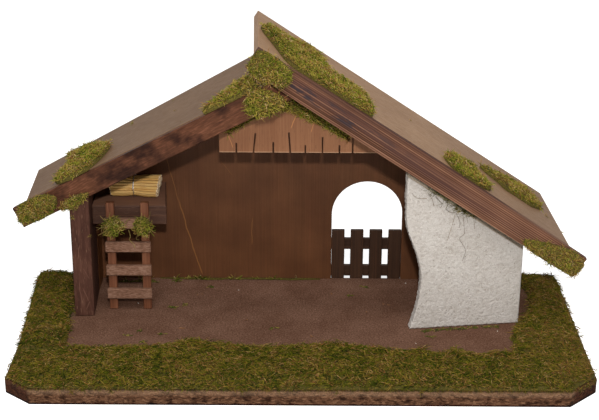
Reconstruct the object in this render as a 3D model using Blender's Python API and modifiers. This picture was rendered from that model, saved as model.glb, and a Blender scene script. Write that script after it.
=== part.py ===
# Wooden nativity stable: a chipboard base with a mossy border, a plywood shell under a
# lopsided roof, a loft with a straw bundle and a leaning ladder, and a picket fence in the
# arched back doorway.
#
# Frame: +X to the right, +Y to the back, +Z up. The origin is the middle of the base's
# underside. Lengths are in metres, written as millimetres times MM.

import math

import bmesh
import bpy
from mathutils import Vector, noise

MM = 0.001
GAP = 0.3 * MM               # left between pieces that touch
WELD = 0.001 * MM

# Base board and floor
BASE_WIDTH = 600 * MM
BASE_DEPTH = 272 * MM
BASE_THICKNESS = 16 * MM     # common chipboard
CHAMFER_LEFT = (28 * MM, 24 * MM)    # cut corner: along the front, along the side
CHAMFER_RIGHT = (31 * MM, 30 * MM)
MAT_THICKNESS = 2 * MM
MAT_MARGIN = 3 * MM

# Plywood shell
WALL_THICKNESS = 6 * MM
SHELL_RIGHT = 236 * MM       # outer face of the right side wall
ARCH_CENTRE = 75 * MM
ARCH_WIDTH = 81 * MM
ARCH_SPRING = 81.5 * MM      # straight jamb, above the floor
ARCH_STEPS = 48

# Corner post of sawn batten
POST_WIDTH = 21 * MM
POST_DEPTH = 69 * MM
POST_LEFT = -249 * MM        # front left edge
POST_TURN = math.radians(3)
BATTEN_EDGE = 1.0 * MM

# Plastered wall at the right front
PLASTER_LEFT = 116 * MM      # foot of the wavy edge
PLASTER_FRONT = -1.2 * MM
PLASTER_LENGTH = 123 * MM
PLASTER_THICKNESS = 11 * MM
PLASTER_TURN = math.radians(8.1)
PLASTER_DROP = 80.4 * MM     # of its uncut top, below the ridge: higher than the roof lets it be
PLASTER_ROUND = 1.2 * MM
# Wavy edge: sideways reach at heights above the floor
PLASTER_WAVE = [(0, 0), (12, 4.2), (34, 9.0), (50, 10.8), (62, 11.0), (73, 9.4), (84, 6.4), (99, 1.0),
                (113, -4.3), (125, -6.8), (142, -7.6), (160, -7.9), (181, -7.5)]

# Roof: two panels, the right one laid over the end of the left one
ROOF_THICKNESS = 9 * MM
RIDGE_X = -45 * MM
RIDGE_HEIGHT = 333.7 * MM
RIGHT_SLOPE = math.radians(33.28)
RIGHT_ROOF_LENGTH = 392 * MM
RIGHT_SKEW_TOP = -5 * MM     # the panels are not quite square
RIGHT_SKEW_LOW = -11 * MM
LEFT_ROOF_SETBACK = 17 * MM  # along the slope, from the end of the bargeboard
LEFT_SKEW_LOW = -6 * MM

# Bargeboards of planed lath, which cover the panels' front edges
LATH_WIDTH = 24 * MM
LATH_THICKNESS = 7 * MM
LATH_EDGE = 0.6 * MM
RIGHT_BOARD_FRONT = -11.8 * MM
RIGHT_BOARD_LENGTH = 413 * MM
RIGHT_BOW_TOP = 2.0 * MM     # waney edges, wider at mid length
RIGHT_BOW_LOW = 1.3 * MM
BOW_STEPS = 16
LEFT_EAVE_DROP = 189.6 * MM  # of the left bargeboard's end, below the ridge
LEFT_BOARD_END = (-310.7 * MM, 29.8 * MM, RIDGE_HEIGHT - LEFT_EAVE_DROP)    # its top front corner
LEFT_BOARD_SLOPE = math.radians(28.74)
LEFT_BOARD_TURN = math.radians(9.31)
LEFT_BOARD_LENGTH = 345 * MM         # uncut, the joint under the right board trims it

# Gable panel with sawn slots
GABLE_FRONT = 36 * MM
GABLE_THICKNESS = 5 * MM
GABLE_LEFT = -88 * MM
GABLE_RIGHT = 170 * MM       # uncut, the roof trims it
GABLE_DROP = 126.2 * MM      # of its lower edge, below the ridge
SLOT_WIDTH = 1.8 * MM
# Slots: distance from the panel's left edge, length, lean in degrees
SLOTS = [(18, 10.5, 0), (36, 21.5, 6), (57, 11.5, 0), (75, 22.5, -4), (91, 8.5, 0),
         (109, 17.5, 0), (127, 8.5, 0), (141, 17, 0)]

# Loft plank
LOFT_DROP = 194.7 * MM       # of its top, below the ridge
LOFT_THICKNESS = 22 * MM
LOFT_FRONT = 54 * MM
LOFT_RIGHT = (-148 * MM, -155 * MM)  # at the front, at the back wall
LOFT_EDGE = 1.0 * MM

# Ladder
RAIL_WIDTH = 9 * MM
RAIL_DEPTH = 6 * MM
RAIL_ABOVE_LOFT = 5.5 * MM
RAIL_LEAN = math.radians(0.8)
LADDER_CENTRE = -190 * MM
RAIL_SPACING = 37.5 * MM
RUNG_COUNT = 4
RUNG_LENGTH = 49.5 * MM
RUNG_HEIGHT = 11.5 * MM
RUNG_DEPTH = 5 * MM
RUNG_FIRST = 20.5 * MM       # centre of the lowest, above the floor
RUNG_LAST = 22.3 * MM        # centre of the highest, below the rails' tops
STICK_EDGE = 0.5 * MM

# Straw bundle and its wire
BUNDLE_LENGTH = 54 * MM
BUNDLE_RADIUS = 12.6 * MM
BUNDLE_WAIST = 1.7 * MM      # how far the wire draws it in
BUNDLE_CENTRE = (-184.5 * MM, 83 * MM)
BUNDLE_TURN = math.radians(-5)
BUNDLE_FLUTE = 0.8 * MM
BUNDLE_STRAWS = 20           # straws round the outside
BUNDLE_POINTS_PER_STRAW = 4
BUNDLE_RINGS = 9
BUNDLE_END_SLANT = 3 * MM
WIRE_RADIUS = 0.55 * MM
WIRE_STEPS = 40
WIRE_SIDES = 6

# Picket fence in the doorway
PICKET_COUNT = 4
PICKET_WIDTH = 14.9 * MM
PICKET_THICKNESS = 5 * MM
PICKET_HEIGHT = 61 * MM
FENCE_RAIL_HEIGHT = 13.5 * MM
FENCE_RAIL_THICKNESS = 5 * MM
FENCE_RAIL_LAP = 12 * MM     # past each side of the doorway
FENCE_RAIL_CENTRES = {"lower": 8 * MM, "upper": 42 * MM}    # above the floor

# Moss
MOSS_INSET = 0.5 * MM        # of the border's outer edge, from the base's edge
MOSS_EDGE_SHARE = 0.45       # height at a pad's rim, as a share of its height
MOSS_LUMP = 0.3              # size of the lumps, as a share of its height
MOSS_LUMP_SPAN = 14 * MM
DOME_ACROSS = 4              # even powers: the higher, the flatter the pad's top
DOME_ALONG = 8
BORDER_HEIGHT = 6.5 * MM
FOOT_HEIGHT = 4 * MM
FOOT_WIDTH = 10 * MM
# Front strip: place along the base as a share of its half width, depth in millimetres
BORDER_FRONT = [(-0.99, 76), (-0.9, 76), (-0.835, 77), (-0.79, 84), (-0.72, 83), (-0.6, 86),
                (-0.453, 91), (-0.39, 103), (-0.287, 94), (-0.153, 87), (0, 89), (0.097, 96),
                (0.26, 85), (0.367, 79), (0.423, 84), (0.47, 72), (0.53, 84), (0.61, 70),
                (0.68, 78), (0.735, 77), (0.8, 76), (0.9, 76), (0.99, 76)]
# Side strips: distance from the back edge, and outwards from the post's or the shell's face
BORDER_LEFT = [(193.5, 2), (180, 0), (166, 0), (136, 2), (118, 5), (76, 6), (38, 6),
               (30, -7), (16, -8), (1, -7)]
BORDER_RIGHT = [(193.5, -15), (176, -12), (152, -9), (132, -3), (118, 3), (96, 15), (74, 20),
                (54, 23), (30, 19), (16, 14), (1, 8)]
FOOT_STRIP = (-165 * MM, 22 * MM)    # ends, along the back wall
FOOT_STEPS = 16

# Pads of moss: two edges of the same number of points, in millimetres in the plane named
# beside them. On a roof panel the points are (along the slope, to the back).
RIDGE_PAD = ([(0, 70), (14, 86), (36, 88), (62, 107), (77, 92), (84, 62), (110, 60), (129, 56), (139, 20)],
             [(4, 56), (14, 40), (24, 20), (34, 2), (46, -4), (66, -4), (89, -4), (118, -4), (137, -4)])
MIDDLE_PAD = ([(231, 28), (243, 49), (256, 53), (270, 58), (275, 36), (285, 29), (289, 14)],
              [(232, 18), (239, 4), (248, -2), (260, -2), (272, -3), (281, 3), (289, 9)])
LOWER_PAD = ([(285, 77), (296, 84), (310, 89), (325, 96), (337, 100), (350, 103), (361, 84), (368, 74)],
             [(287, 73), (298, 66), (308, 62), (316, 52), (329, 53), (340, 52), (352, 52), (367, 64)])
LEFT_PAD = ([(56, 114), (62, 96), (60, 74), (55, 52), (55, 35), (64, 24), (80, 19)],
            [(66, 115), (86, 112), (102, 94), (118, 72), (115, 50), (108, 34), (98, 20)])
RIDGE_LEFT_PAD = ([(240, 0), (252, 5), (265, 17), (278, 30), (290, 36), (300, 22)],
                  [(241, -3), (253, -6), (266, -8), (278, -10), (290, -11), (300, -12)])
# On a bargeboard's front face: (along the board, up from its top edge)
PEAK_PAD = ([(0, -3), (7, 2), (16, 2.5), (24, 2.5), (34, 1), (41, -1), (45, -8)],
            [(0, -20), (8, -26), (16, -27.5), (22, -26.5), (31, -23), (40, -20), (45, -12)])
RIGHT_EAVE_PAD = ([(344, -18), (356, -12), (372, -6), (388, -1), (400, -0.5), (410, -2), (414, -8)],
                  [(346, -23), (358, -25), (372, -25), (388, -25), (400, -24.5), (410, -24), (413, -19)])
LEFT_EAVE_PAD = ([(-0.5, -5), (8, 0.5), (20, 1.5), (32, 1), (42, -1), (50, -7), (52, -11)],
                 [(-0.5, -18), (8, -24), (20, -26.5), (32, -26), (40, -24), (46, -20), (50, -16)])
POST_PAD = ([(48, -23), (56, -18), (66, -16), (76, -17), (86, -22)],
            [(49, -30), (56, -35), (66, -36), (76, -30), (85, -26)])
JOINT_PAD = ([(286, -12), (295, 1), (305, 2.5), (314, -3), (322, -11), (327, -18)],
             [(286, -16), (291, -23), (300, -26), (309, -28), (318, -28), (325, -26)])
# On the gable panel: (along the stable, up from the panel's lower edge)
GABLE_PAD = ([(-80, 28), (-68, 40), (-54, 50), (-38, 60), (-20, 66), (-4, 61), (12, 52), (30, 41),
              (50, 24)],
             [(-79, 22), (-68, 28), (-54, 37), (-38, 44), (-20, 48), (-4, 42), (12, 35), (30, 25),
              (49, 14)])
# On the ladder's top rung: (from its middle, up from its centre)
LADDER_LEFT_PAD = ([(-26, 0), (-21, 6), (-15, 8), (-9, 6), (-4, 2)],
                   [(-26, -5), (-21, -11), (-15, -13), (-9, -8), (-4, -3)])
LADDER_RIGHT_PAD = ([(8, 1), (12, 7), (17, 9), (22, 7), (26, 2)],
                    [(8, -4), (12, -9), (17, -11), (22, -9), (26, -4)])
# On the plastered wall: (along from its left edge, down from its uncut top)
PLASTER_PAD = ([(15, -73), (27, -79), (39, -86), (50, -93), (61, -100), (70, -106)],
               [(16, -77), (27, -85), (39, -92), (50, -99), (61, -106), (69, -109)])
# Height of each pad
PAD_HEIGHTS = {"ridge": 7 * MM, "middle": 5 * MM, "lower": 4.5 * MM, "left": 6 * MM, "ridge_left": 7.5 * MM,
               "peak": 8 * MM, "joint": 6 * MM, "eave": 6 * MM, "post": 6 * MM, "gable": 8 * MM,
               "ladder": 6 * MM, "plaster": 4 * MM}
PAD_ROWS = 6
PAD_STEPS = 2
FOOT_ROWS = 4

FLOOR = BASE_THICKNESS + MAT_THICKNESS
LOFT_TOP = RIDGE_HEIGHT - LOFT_DROP
STAND = FLOOR + GAP                      # underside of what stands on the floor
GABLE_FOOT = RIDGE_HEIGHT - GABLE_DROP
PLASTER_RISE = RIDGE_HEIGHT - PLASTER_DROP - STAND
BACK = BASE_DEPTH / 2                    # rear face of the back wall
WALL_FRONT = BACK - WALL_THICKNESS
LEFT_ROOF_SLOPE = math.atan(math.tan(LEFT_BOARD_SLOPE) / math.cos(LEFT_BOARD_TURN))
BOARD_REAR = RIGHT_BOARD_FRONT + LATH_THICKNESS


def start():
    """Clear the file and make the collections for the object and for its cutters."""
    for old in list(bpy.data.objects):
        bpy.data.objects.remove(old, do_unlink=True)
    made = []
    for name in ("nativity_stable", "cutters"):
        collection = bpy.data.collections.new(name)
        bpy.context.scene.collection.children.link(collection)
        made.append(collection)
    return made


STABLE, CUTTERS = start()


def finish(name, colour, roughness, metallic=0.0):
    """A plain material: colour is linear red, green and blue."""
    material = bpy.data.materials.new(name)
    material.use_nodes = True
    shader = material.node_tree.nodes["Principled BSDF"]
    shader.inputs["Base Color"].default_value = (*colour, 1.0)
    shader.inputs["Roughness"].default_value = roughness
    shader.inputs["Metallic"].default_value = metallic
    return material


CHIPBOARD = ("chipboard", (0.16, 0.085, 0.055), 0.8)
MAT = ("flocked_mat", (0.105, 0.062, 0.046), 0.95)
PLYWOOD = ("stained_plywood", (0.075, 0.030, 0.016), 0.6)
PALE_PLY = ("pale_stained_plywood", (0.24, 0.125, 0.08), 0.6)
ROOF_PLY = ("roof_plywood", (0.24, 0.165, 0.115), 0.55)
LATH = ("charred_lath", (0.09, 0.042, 0.026), 0.65)
RED_LATH = ("stained_lath", (0.10, 0.036, 0.021), 0.6)
BATTEN = ("sawn_batten", (0.085, 0.042, 0.028), 0.7)
PLASTER = ("rough_plaster", (0.62, 0.57, 0.50), 0.9)
STICK = ("ladder_stick", (0.17, 0.075, 0.045), 0.65)
RUNG_WOOD = ("ladder_rung_wood", (0.30, 0.185, 0.14), 0.7)
STRAW = ("straw", (0.62, 0.42, 0.17), 0.6)
WIRE = ("steel_wire", (0.6, 0.6, 0.62), 0.3, 1.0)
MOSS = ("dried_moss", (0.10, 0.105, 0.022), 0.95)


def add(name, data, look, parent=None, location=(0, 0, 0), rotation=(0, 0, 0)):
    """One named piece, with its own material."""
    piece = bpy.data.objects.new(name, data)
    data.materials.clear()
    data.materials.append(finish(look[0] + "_" + name, *look[1:]))
    place(piece, parent, location, rotation)
    STABLE.objects.link(piece)
    return piece


def place(piece, parent, location, rotation):
    piece.parent = parent
    piece.location = location
    piece.rotation_euler = rotation


def guide(name, location, rotation):
    """An empty that carries the pieces of one frame."""
    empty = bpy.data.objects.new(name, None)
    place(empty, None, location, rotation)
    STABLE.objects.link(empty)
    return empty


def block(name, low, high):
    """A box between two corners."""
    mesh = bpy.data.meshes.new(name)
    shape = bmesh.new()
    bmesh.ops.create_cube(shape, size=1.0)
    size = Vector(high) - Vector(low)
    bmesh.ops.scale(shape, vec=size, verts=shape.verts)
    bmesh.ops.translate(shape, vec=(Vector(high) + Vector(low)) / 2, verts=shape.verts)
    shape.to_mesh(mesh)
    shape.free()
    return mesh


def plate(name, outline, thickness):
    """A flat plate: its outline is its upper face, and its thickness runs down from there."""
    curve = bpy.data.curves.new(name, "CURVE")
    curve.dimensions = "2D"
    curve.fill_mode = "BOTH"
    curve.extrude = thickness / 2
    spline = curve.splines.new("POLY")
    spline.points.add(len(outline) - 1)
    for point, (x, y) in zip(spline.points, outline):
        point.co = (x, y, 0, 1)
    spline.use_cyclic_u = True
    flat = bpy.data.objects.new(name + "_outline", curve)
    STABLE.objects.link(flat)
    depsgraph = bpy.context.evaluated_depsgraph_get()
    mesh = bpy.data.meshes.new_from_object(flat.evaluated_get(depsgraph))
    bpy.data.objects.remove(flat)
    shape = bmesh.new()
    shape.from_mesh(mesh)
    bmesh.ops.remove_doubles(shape, verts=shape.verts, dist=WELD)
    bmesh.ops.translate(shape, vec=(0, 0, -thickness / 2), verts=shape.verts)
    bmesh.ops.recalc_face_normals(shape, faces=shape.faces)
    shape.to_mesh(mesh)
    shape.free()
    return mesh


def ease(piece, width, segments=1):
    """Slightly rounded edges."""
    bevel = piece.modifiers.new("eased_edges", "BEVEL")
    bevel.width = width
    bevel.segments = segments
    bevel.limit_method = "ANGLE"
    return piece


def cut(piece, *cutters):
    for cutter in cutters:
        boolean = piece.modifiers.new("cut_by_" + cutter.name, "BOOLEAN")
        boolean.operation = "DIFFERENCE"
        boolean.solver = "EXACT"
        boolean.object = cutter
    return piece


def cutter(name, mesh, parent=None, location=(0, 0, 0), rotation=(0, 0, 0)):
    tool = bpy.data.objects.new(name, mesh)
    place(tool, parent, location, rotation)
    tool.hide_render = True
    tool.display_type = "WIRE"
    CUTTERS.objects.link(tool)
    return tool


def upright(turn=0.0):
    """Rotation that stands a plate up: across runs to the right, up to +Z, thickness to the back."""
    return (math.radians(90), 0, turn)


def through(points, steps):
    """Points of a smooth curve through the given ones, steps to each stretch."""
    ends = [points[0], *points, points[-1]]
    curve = []
    for before, start_point, end_point, after in zip(ends, ends[1:], ends[2:], ends[3:]):
        for step in range(steps):
            t = step / steps
            curve.append(tuple(
                0.5 * (2 * b + (c - a) * t + (2 * a - 5 * b + 4 * c - d) * t * t
                       + (3 * b - a - 3 * c + d) * t ** 3)
                for a, b, c, d in zip(before, start_point, end_point, after)))
    curve.append(tuple(points[-1]))
    return curve


def base_outline(inset):
    """The base seen from above, with its cut front corners, moved in by an inset."""
    x, y = BASE_WIDTH / 2 - inset, BASE_DEPTH / 2 - inset
    return [(-x, y), (-x, CHAMFER_LEFT[1] - y), (CHAMFER_LEFT[0] - x, -y),
            (x - CHAMFER_RIGHT[0], -y), (x, CHAMFER_RIGHT[1] - y), (x, y)]


def front_edge(x, inset):
    """How far forward the base reaches at x, moved in by an inset."""
    points = base_outline(inset)[1:-1]
    for (x0, y0), (x1, y1) in zip(points, points[1:]):
        if x <= x1 or (x1, y1) == points[-1]:
            return y0 + (y1 - y0) * (x - x0) / (x1 - x0)


def make_base():
    ease(add("base_board", plate("base_board", base_outline(0), BASE_THICKNESS), CHIPBOARD,
             location=(0, 0, BASE_THICKNESS)), STICK_EDGE)
    add("floor_mat", plate("floor_mat", base_outline(MAT_MARGIN), MAT_THICKNESS - GAP), MAT,
        location=(0, 0, FLOOR))


def post_front():
    """The post stands just behind the left bargeboard's rear face, at its own left edge."""
    slant = (POST_LEFT - LEFT_BOARD_END[0]) * math.tan(LEFT_BOARD_TURN)
    return LEFT_BOARD_END[1] - slant + (LATH_THICKNESS + GAP) / math.cos(LEFT_BOARD_TURN)


def post_right(y):
    """The post's right face at a depth y."""
    corner = POST_LEFT + POST_WIDTH * math.cos(POST_TURN)
    return corner - (y - post_front() - POST_WIDTH * math.sin(POST_TURN)) * math.tan(POST_TURN)


def post_rear():
    return post_front() + POST_DEPTH * math.cos(POST_TURN) + POST_WIDTH * math.sin(POST_TURN)


def side_inner():
    """The left side wall carries on the post's right face."""
    return post_right(post_rear())


def make_frames():
    """The two slopes and the left bargeboard, as frames that carry their pieces."""
    right = guide("right_slope", (RIDGE_X, 0, RIDGE_HEIGHT), (0, RIGHT_SLOPE, 0))
    left = guide("left_slope", (LEFT_BOARD_END[0], 0, LEFT_BOARD_END[2]), (0, -LEFT_ROOF_SLOPE, 0))
    barge = guide("left_board", LEFT_BOARD_END, (0, -LEFT_BOARD_SLOPE, -LEFT_BOARD_TURN))
    return right, left, barge


def make_cutters(right, left):
    """Spaces that belong to the roof, so that what stands below is trimmed to fit."""
    reach = BASE_WIDTH
    under = -ROOF_THICKNESS - GAP
    low, high = (-reach, -reach, under), (reach, reach, reach)
    over_right = cutter("over_right", block("over_right", low, high), right)
    over_left = cutter("over_left", block("over_left", low, high), left)
    low = (-LATH_WIDTH, -reach, -LATH_WIDTH - RIGHT_BOW_LOW / 2 - GAP)
    joint = cutter("board_joint", block("board_joint", low, (reach, BOARD_REAR + GAP, reach)), right)
    return over_right, over_left, joint


def make_roof(right, left, barge, over_right, joint):
    front, back = BOARD_REAR + GAP, BACK
    outline = [(0, front), (RIGHT_ROOF_LENGTH, front),
               (RIGHT_ROOF_LENGTH + RIGHT_SKEW_LOW, back), (RIGHT_SKEW_TOP, back)]
    ease(add("roof_right", plate("roof_right", outline, ROOF_THICKNESS), ROOF_PLY, right), LATH_EDGE)

    def left_front(along):
        """The left bargeboard's rear face, where the panel butts against it."""
        rear = LEFT_BOARD_END[1] + (LATH_THICKNESS + GAP) / math.cos(LEFT_BOARD_TURN)
        return rear - along * math.cos(LEFT_ROOF_SLOPE) * math.tan(LEFT_BOARD_TURN)

    low, high = LEFT_ROOF_SETBACK, LEFT_BOARD_LENGTH
    outline = [(low, left_front(low)), (high, left_front(high)), (high, back), (low + LEFT_SKEW_LOW, back)]
    panel = add("roof_left", plate("roof_left", outline, ROOF_THICKNESS), ROOF_PLY, left)
    cut(ease(panel, LATH_EDGE), over_right, joint)

    def waney(height, bow):
        """One long edge of the right bargeboard, bowed out at mid length."""
        steps = [step / BOW_STEPS for step in range(BOW_STEPS + 1)]
        return [(RIGHT_BOARD_LENGTH * t, height + bow * math.sin(math.pi * t)) for t in steps]

    outline = waney(0, RIGHT_BOW_TOP) + waney(-LATH_WIDTH, -RIGHT_BOW_LOW)[::-1]
    board = add("bargeboard_right", plate("bargeboard_right", outline, LATH_THICKNESS), LATH, right,
                (0, RIGHT_BOARD_FRONT, 0), upright())
    ease(board, LATH_EDGE)
    board = add("bargeboard_left", block("bargeboard_left", (0, 0, -LATH_WIDTH),
                                          (LEFT_BOARD_LENGTH, LATH_THICKNESS, 0)), RED_LATH, barge)
    cut(ease(board, LATH_EDGE), joint)


def make_walls(over_right, over_left):
    shell_left = side_inner() - WALL_THICKNESS
    height = RIDGE_HEIGHT
    outline = [(shell_left, STAND), (SHELL_RIGHT, STAND), (SHELL_RIGHT, height), (shell_left, height)]
    wall = add("back_wall", plate("back_wall", outline, WALL_THICKNESS), PLYWOOD,
               location=(0, WALL_FRONT, 0), rotation=upright())
    radius = ARCH_WIDTH / 2
    spring = FLOOR + ARCH_SPRING
    arc = [(ARCH_CENTRE + radius * math.cos(math.pi * step / ARCH_STEPS),
            spring + radius * math.sin(math.pi * step / ARCH_STEPS)) for step in range(ARCH_STEPS + 1)]
    doorway = [(ARCH_CENTRE - radius, 0), (ARCH_CENTRE + radius, 0)] + arc
    arch = cutter("arch", plate("arch", doorway, BASE_DEPTH), location=(0, 0, 0), rotation=upright())
    cut(wall, over_left, over_right, arch)

    low, high = (shell_left, post_rear() + GAP, STAND), (side_inner(), WALL_FRONT - GAP, height)
    cut(add("side_wall_left", block("side_wall_left", low, high), PLYWOOD), over_left)

    reach = (SHELL_RIGHT - PLASTER_LEFT) * math.tan(PLASTER_TURN)
    front = PLASTER_FRONT + reach + PLASTER_THICKNESS / math.cos(PLASTER_TURN) + GAP
    low, high = (SHELL_RIGHT - WALL_THICKNESS, front, STAND), (SHELL_RIGHT, WALL_FRONT - GAP, height)
    cut(add("side_wall_right", block("side_wall_right", low, high), PLYWOOD), over_right)

    post = add("corner_post", block("corner_post", (0, 0, 0), (POST_WIDTH, POST_DEPTH, height)), BATTEN,
               location=(POST_LEFT, post_front(), STAND), rotation=(0, 0, POST_TURN))
    cut(ease(post, BATTEN_EDGE, 2), over_left)

    frame = guide("plaster_frame", (PLASTER_LEFT, PLASTER_FRONT, STAND), (0, 0, PLASTER_TURN))
    wave = through([(side * MM, up * MM) for up, side in PLASTER_WAVE], 2)
    outline = [(PLASTER_LENGTH, 0), (PLASTER_LENGTH, PLASTER_RISE), (wave[-1][0], PLASTER_RISE)] + wave[::-1]
    wall = add("plaster_wall", plate("plaster_wall", outline, PLASTER_THICKNESS), PLASTER, frame,
               rotation=upright())
    cut(ease(wall, PLASTER_ROUND, 2), over_right)
    return frame


def make_gable(over_right, over_left):
    outline = [(GABLE_LEFT, GABLE_FOOT), (GABLE_RIGHT, GABLE_FOOT),
               (GABLE_RIGHT, RIDGE_HEIGHT), (GABLE_LEFT, RIDGE_HEIGHT)]
    panel = add("gable_panel", plate("gable_panel", outline, GABLE_THICKNESS), PALE_PLY,
                location=(0, GABLE_FRONT, 0), rotation=upright())
    cut(panel, over_left, over_right)
    for number, (across, length, lean) in enumerate(SLOTS, 1):
        saw = block(f"saw_cut_{number}", (-SLOT_WIDTH / 2, -GABLE_THICKNESS, -length * MM),
                    (SLOT_WIDTH / 2, 2 * GABLE_THICKNESS, length * MM))
        foot = (GABLE_LEFT + across * MM, GABLE_FRONT, GABLE_FOOT)
        tool = cutter(f"saw_cut_{number}", saw, location=foot,
                      rotation=(0, math.radians(lean), 0))
        cut(panel, tool)


def make_loft():
    front, back = LOFT_FRONT, WALL_FRONT - GAP
    outline = [(post_right(front) + GAP, front), (LOFT_RIGHT[0], front), (LOFT_RIGHT[1], back),
               (side_inner() + GAP, back)]
    plank = plate("loft_plank", outline, LOFT_THICKNESS)
    plank = add("loft_plank", plank, BATTEN, location=(0, 0, LOFT_TOP))
    ease(plank, LOFT_EDGE, 2)


def make_ladder():
    """Two rails lean on the loft's front edge, with the rungs nailed across them."""
    length = LOFT_TOP + RAIL_ABOVE_LOFT - STAND
    last = length - RUNG_LAST
    foot = LOFT_FRONT - GAP - RAIL_DEPTH / math.cos(RAIL_LEAN) - (LOFT_TOP - STAND) * math.tan(RAIL_LEAN)
    lift = RAIL_DEPTH * math.sin(RAIL_LEAN)
    frame = guide("ladder_frame", (LADDER_CENTRE, foot, STAND + lift), (-RAIL_LEAN, 0, 0))
    for side, name in ((-1, "left"), (1, "right")):
        name = f"ladder_rail_{name}"
        middle = side * RAIL_SPACING / 2
        rail = block(name, (middle - RAIL_WIDTH / 2, 0, 0), (middle + RAIL_WIDTH / 2, RAIL_DEPTH, length))
        ease(add(name, rail, STICK, frame), STICK_EDGE)
    for number in range(RUNG_COUNT):
        name = f"ladder_rung_{number + 1}"
        height = RUNG_FIRST + number * (last - RUNG_FIRST) / (RUNG_COUNT - 1)
        rung = block(name, (-RUNG_LENGTH / 2, -GAP - RUNG_DEPTH, height - RUNG_HEIGHT / 2),
                     (RUNG_LENGTH / 2, -GAP, height + RUNG_HEIGHT / 2))
        ease(add(name, rung, RUNG_WOOD, frame), STICK_EDGE)
    return frame, last


def bundle_radius(along, angle):
    """The bundle's outer form: straws side by side, drawn in where the wire binds them."""
    waist = BUNDLE_WAIST * math.exp(-(along / (BUNDLE_LENGTH / 6)) ** 2)
    flute = BUNDLE_FLUTE * (1 - abs(math.cos(angle * BUNDLE_STRAWS / 2)))
    return BUNDLE_RADIUS - waist - flute


def make_bundle():
    around = BUNDLE_STRAWS * BUNDLE_POINTS_PER_STRAW
    shape = bmesh.new()
    bmesh.ops.create_grid(shape, x_segments=BUNDLE_RINGS - 1, y_segments=around, size=0.5)
    for vertex in shape.verts:
        angle = 2 * math.pi * (vertex.co.y + 0.5)
        along = BUNDLE_LENGTH * vertex.co.x
        radius = bundle_radius(along, angle)
        slant = BUNDLE_END_SLANT * math.sin(angle) * 2 * vertex.co.x
        vertex.co = (along + slant, -radius * math.cos(angle), radius * math.sin(angle))
    bmesh.ops.remove_doubles(shape, verts=shape.verts, dist=WELD)
    bmesh.ops.holes_fill(shape, edges=shape.edges)
    bmesh.ops.recalc_face_normals(shape, faces=shape.faces)
    mesh = bpy.data.meshes.new("straw_bundle")
    shape.to_mesh(mesh)
    shape.free()
    frame = guide("bundle_frame", (*BUNDLE_CENTRE, LOFT_TOP + BUNDLE_RADIUS + GAP), (0, 0, BUNDLE_TURN))
    add("straw_bundle", mesh, STRAW, frame)
    ring = BUNDLE_RADIUS - BUNDLE_WAIST + GAP + WIRE_RADIUS
    bpy.ops.mesh.primitive_torus_add(major_radius=ring, minor_radius=WIRE_RADIUS,
                                     major_segments=WIRE_STEPS, minor_segments=WIRE_SIDES)
    torus = bpy.context.object
    mesh = torus.data
    bpy.data.objects.remove(torus)
    add("bundle_wire", mesh, WIRE, frame, rotation=(0, math.radians(90), 0))


def make_fence():
    """Pickets stand in the doorway, nailed to two rails behind the wall."""
    pitch = (ARCH_WIDTH - 2 * GAP - PICKET_WIDTH) / (PICKET_COUNT - 1)
    first = ARCH_CENTRE - (ARCH_WIDTH - PICKET_WIDTH) / 2 + GAP
    for number in range(PICKET_COUNT):
        name = f"fence_picket_{number + 1}"
        middle = first + number * pitch
        picket = block(name, (middle - PICKET_WIDTH / 2, BACK - PICKET_THICKNESS, STAND),
                       (middle + PICKET_WIDTH / 2, BACK, STAND + PICKET_HEIGHT))
        ease(add(name, picket, BATTEN), STICK_EDGE)
    reach = ARCH_WIDTH / 2 + FENCE_RAIL_LAP
    front = BACK + GAP
    for place_name, height in FENCE_RAIL_CENTRES.items():
        name = f"fence_rail_{place_name}"
        foot = FLOOR + height - FENCE_RAIL_HEIGHT / 2
        rail = block(name, (ARCH_CENTRE - reach, front, foot),
                     (ARCH_CENTRE + reach, front + FENCE_RAIL_THICKNESS, foot + FENCE_RAIL_HEIGHT))
        ease(add(name, rail, BATTEN), STICK_EDGE)


def moss(name, edges, height, parent=None, location=(0, 0, 0), rotation=(0, 0, 0), rows=PAD_ROWS):
    """A lumpy pad between two edges of as many points, flat underneath, domed above."""
    first, second = edges
    last = len(first) - 1
    shape = bmesh.new()
    bmesh.ops.create_grid(shape, x_segments=last, y_segments=rows - 1, size=0.5)
    for vertex in shape.verts:
        along, across = vertex.co.x + 0.5, vertex.co.y + 0.5
        station = round(along * last)
        spot = Vector(first[station]).lerp(Vector(second[station]), across)
        dome = (1 - (2 * across - 1) ** DOME_ACROSS) * (1 - (2 * along - 1) ** DOME_ALONG)
        lump = MOSS_LUMP * noise.noise(Vector((*spot, 0)) / MOSS_LUMP_SPAN)
        vertex.co = (*spot, height * (MOSS_EDGE_SHARE + (1 - MOSS_EDGE_SHARE + lump) * dome))
    under = bmesh.ops.extrude_face_region(shape, geom=shape.faces[:])["geom"]
    for item in under:
        if isinstance(item, bmesh.types.BMVert):
            item.co.z = 0
    bmesh.ops.recalc_face_normals(shape, faces=shape.faces)
    mesh = bpy.data.meshes.new(name)
    shape.to_mesh(mesh)
    shape.free()
    return add(name, mesh, MOSS, parent, location, rotation)


def pad(name, edges, height, parent=None, location=(0, 0, 0), rotation=(0, 0, 0)):
    """A pad of moss from two edges in millimetres."""
    smooth = [through([(x * MM, y * MM) for x, y in edge], PAD_STEPS) for edge in edges]
    moss(f"moss_{name}", smooth, PAD_HEIGHTS[height], parent, location, rotation)


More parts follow.
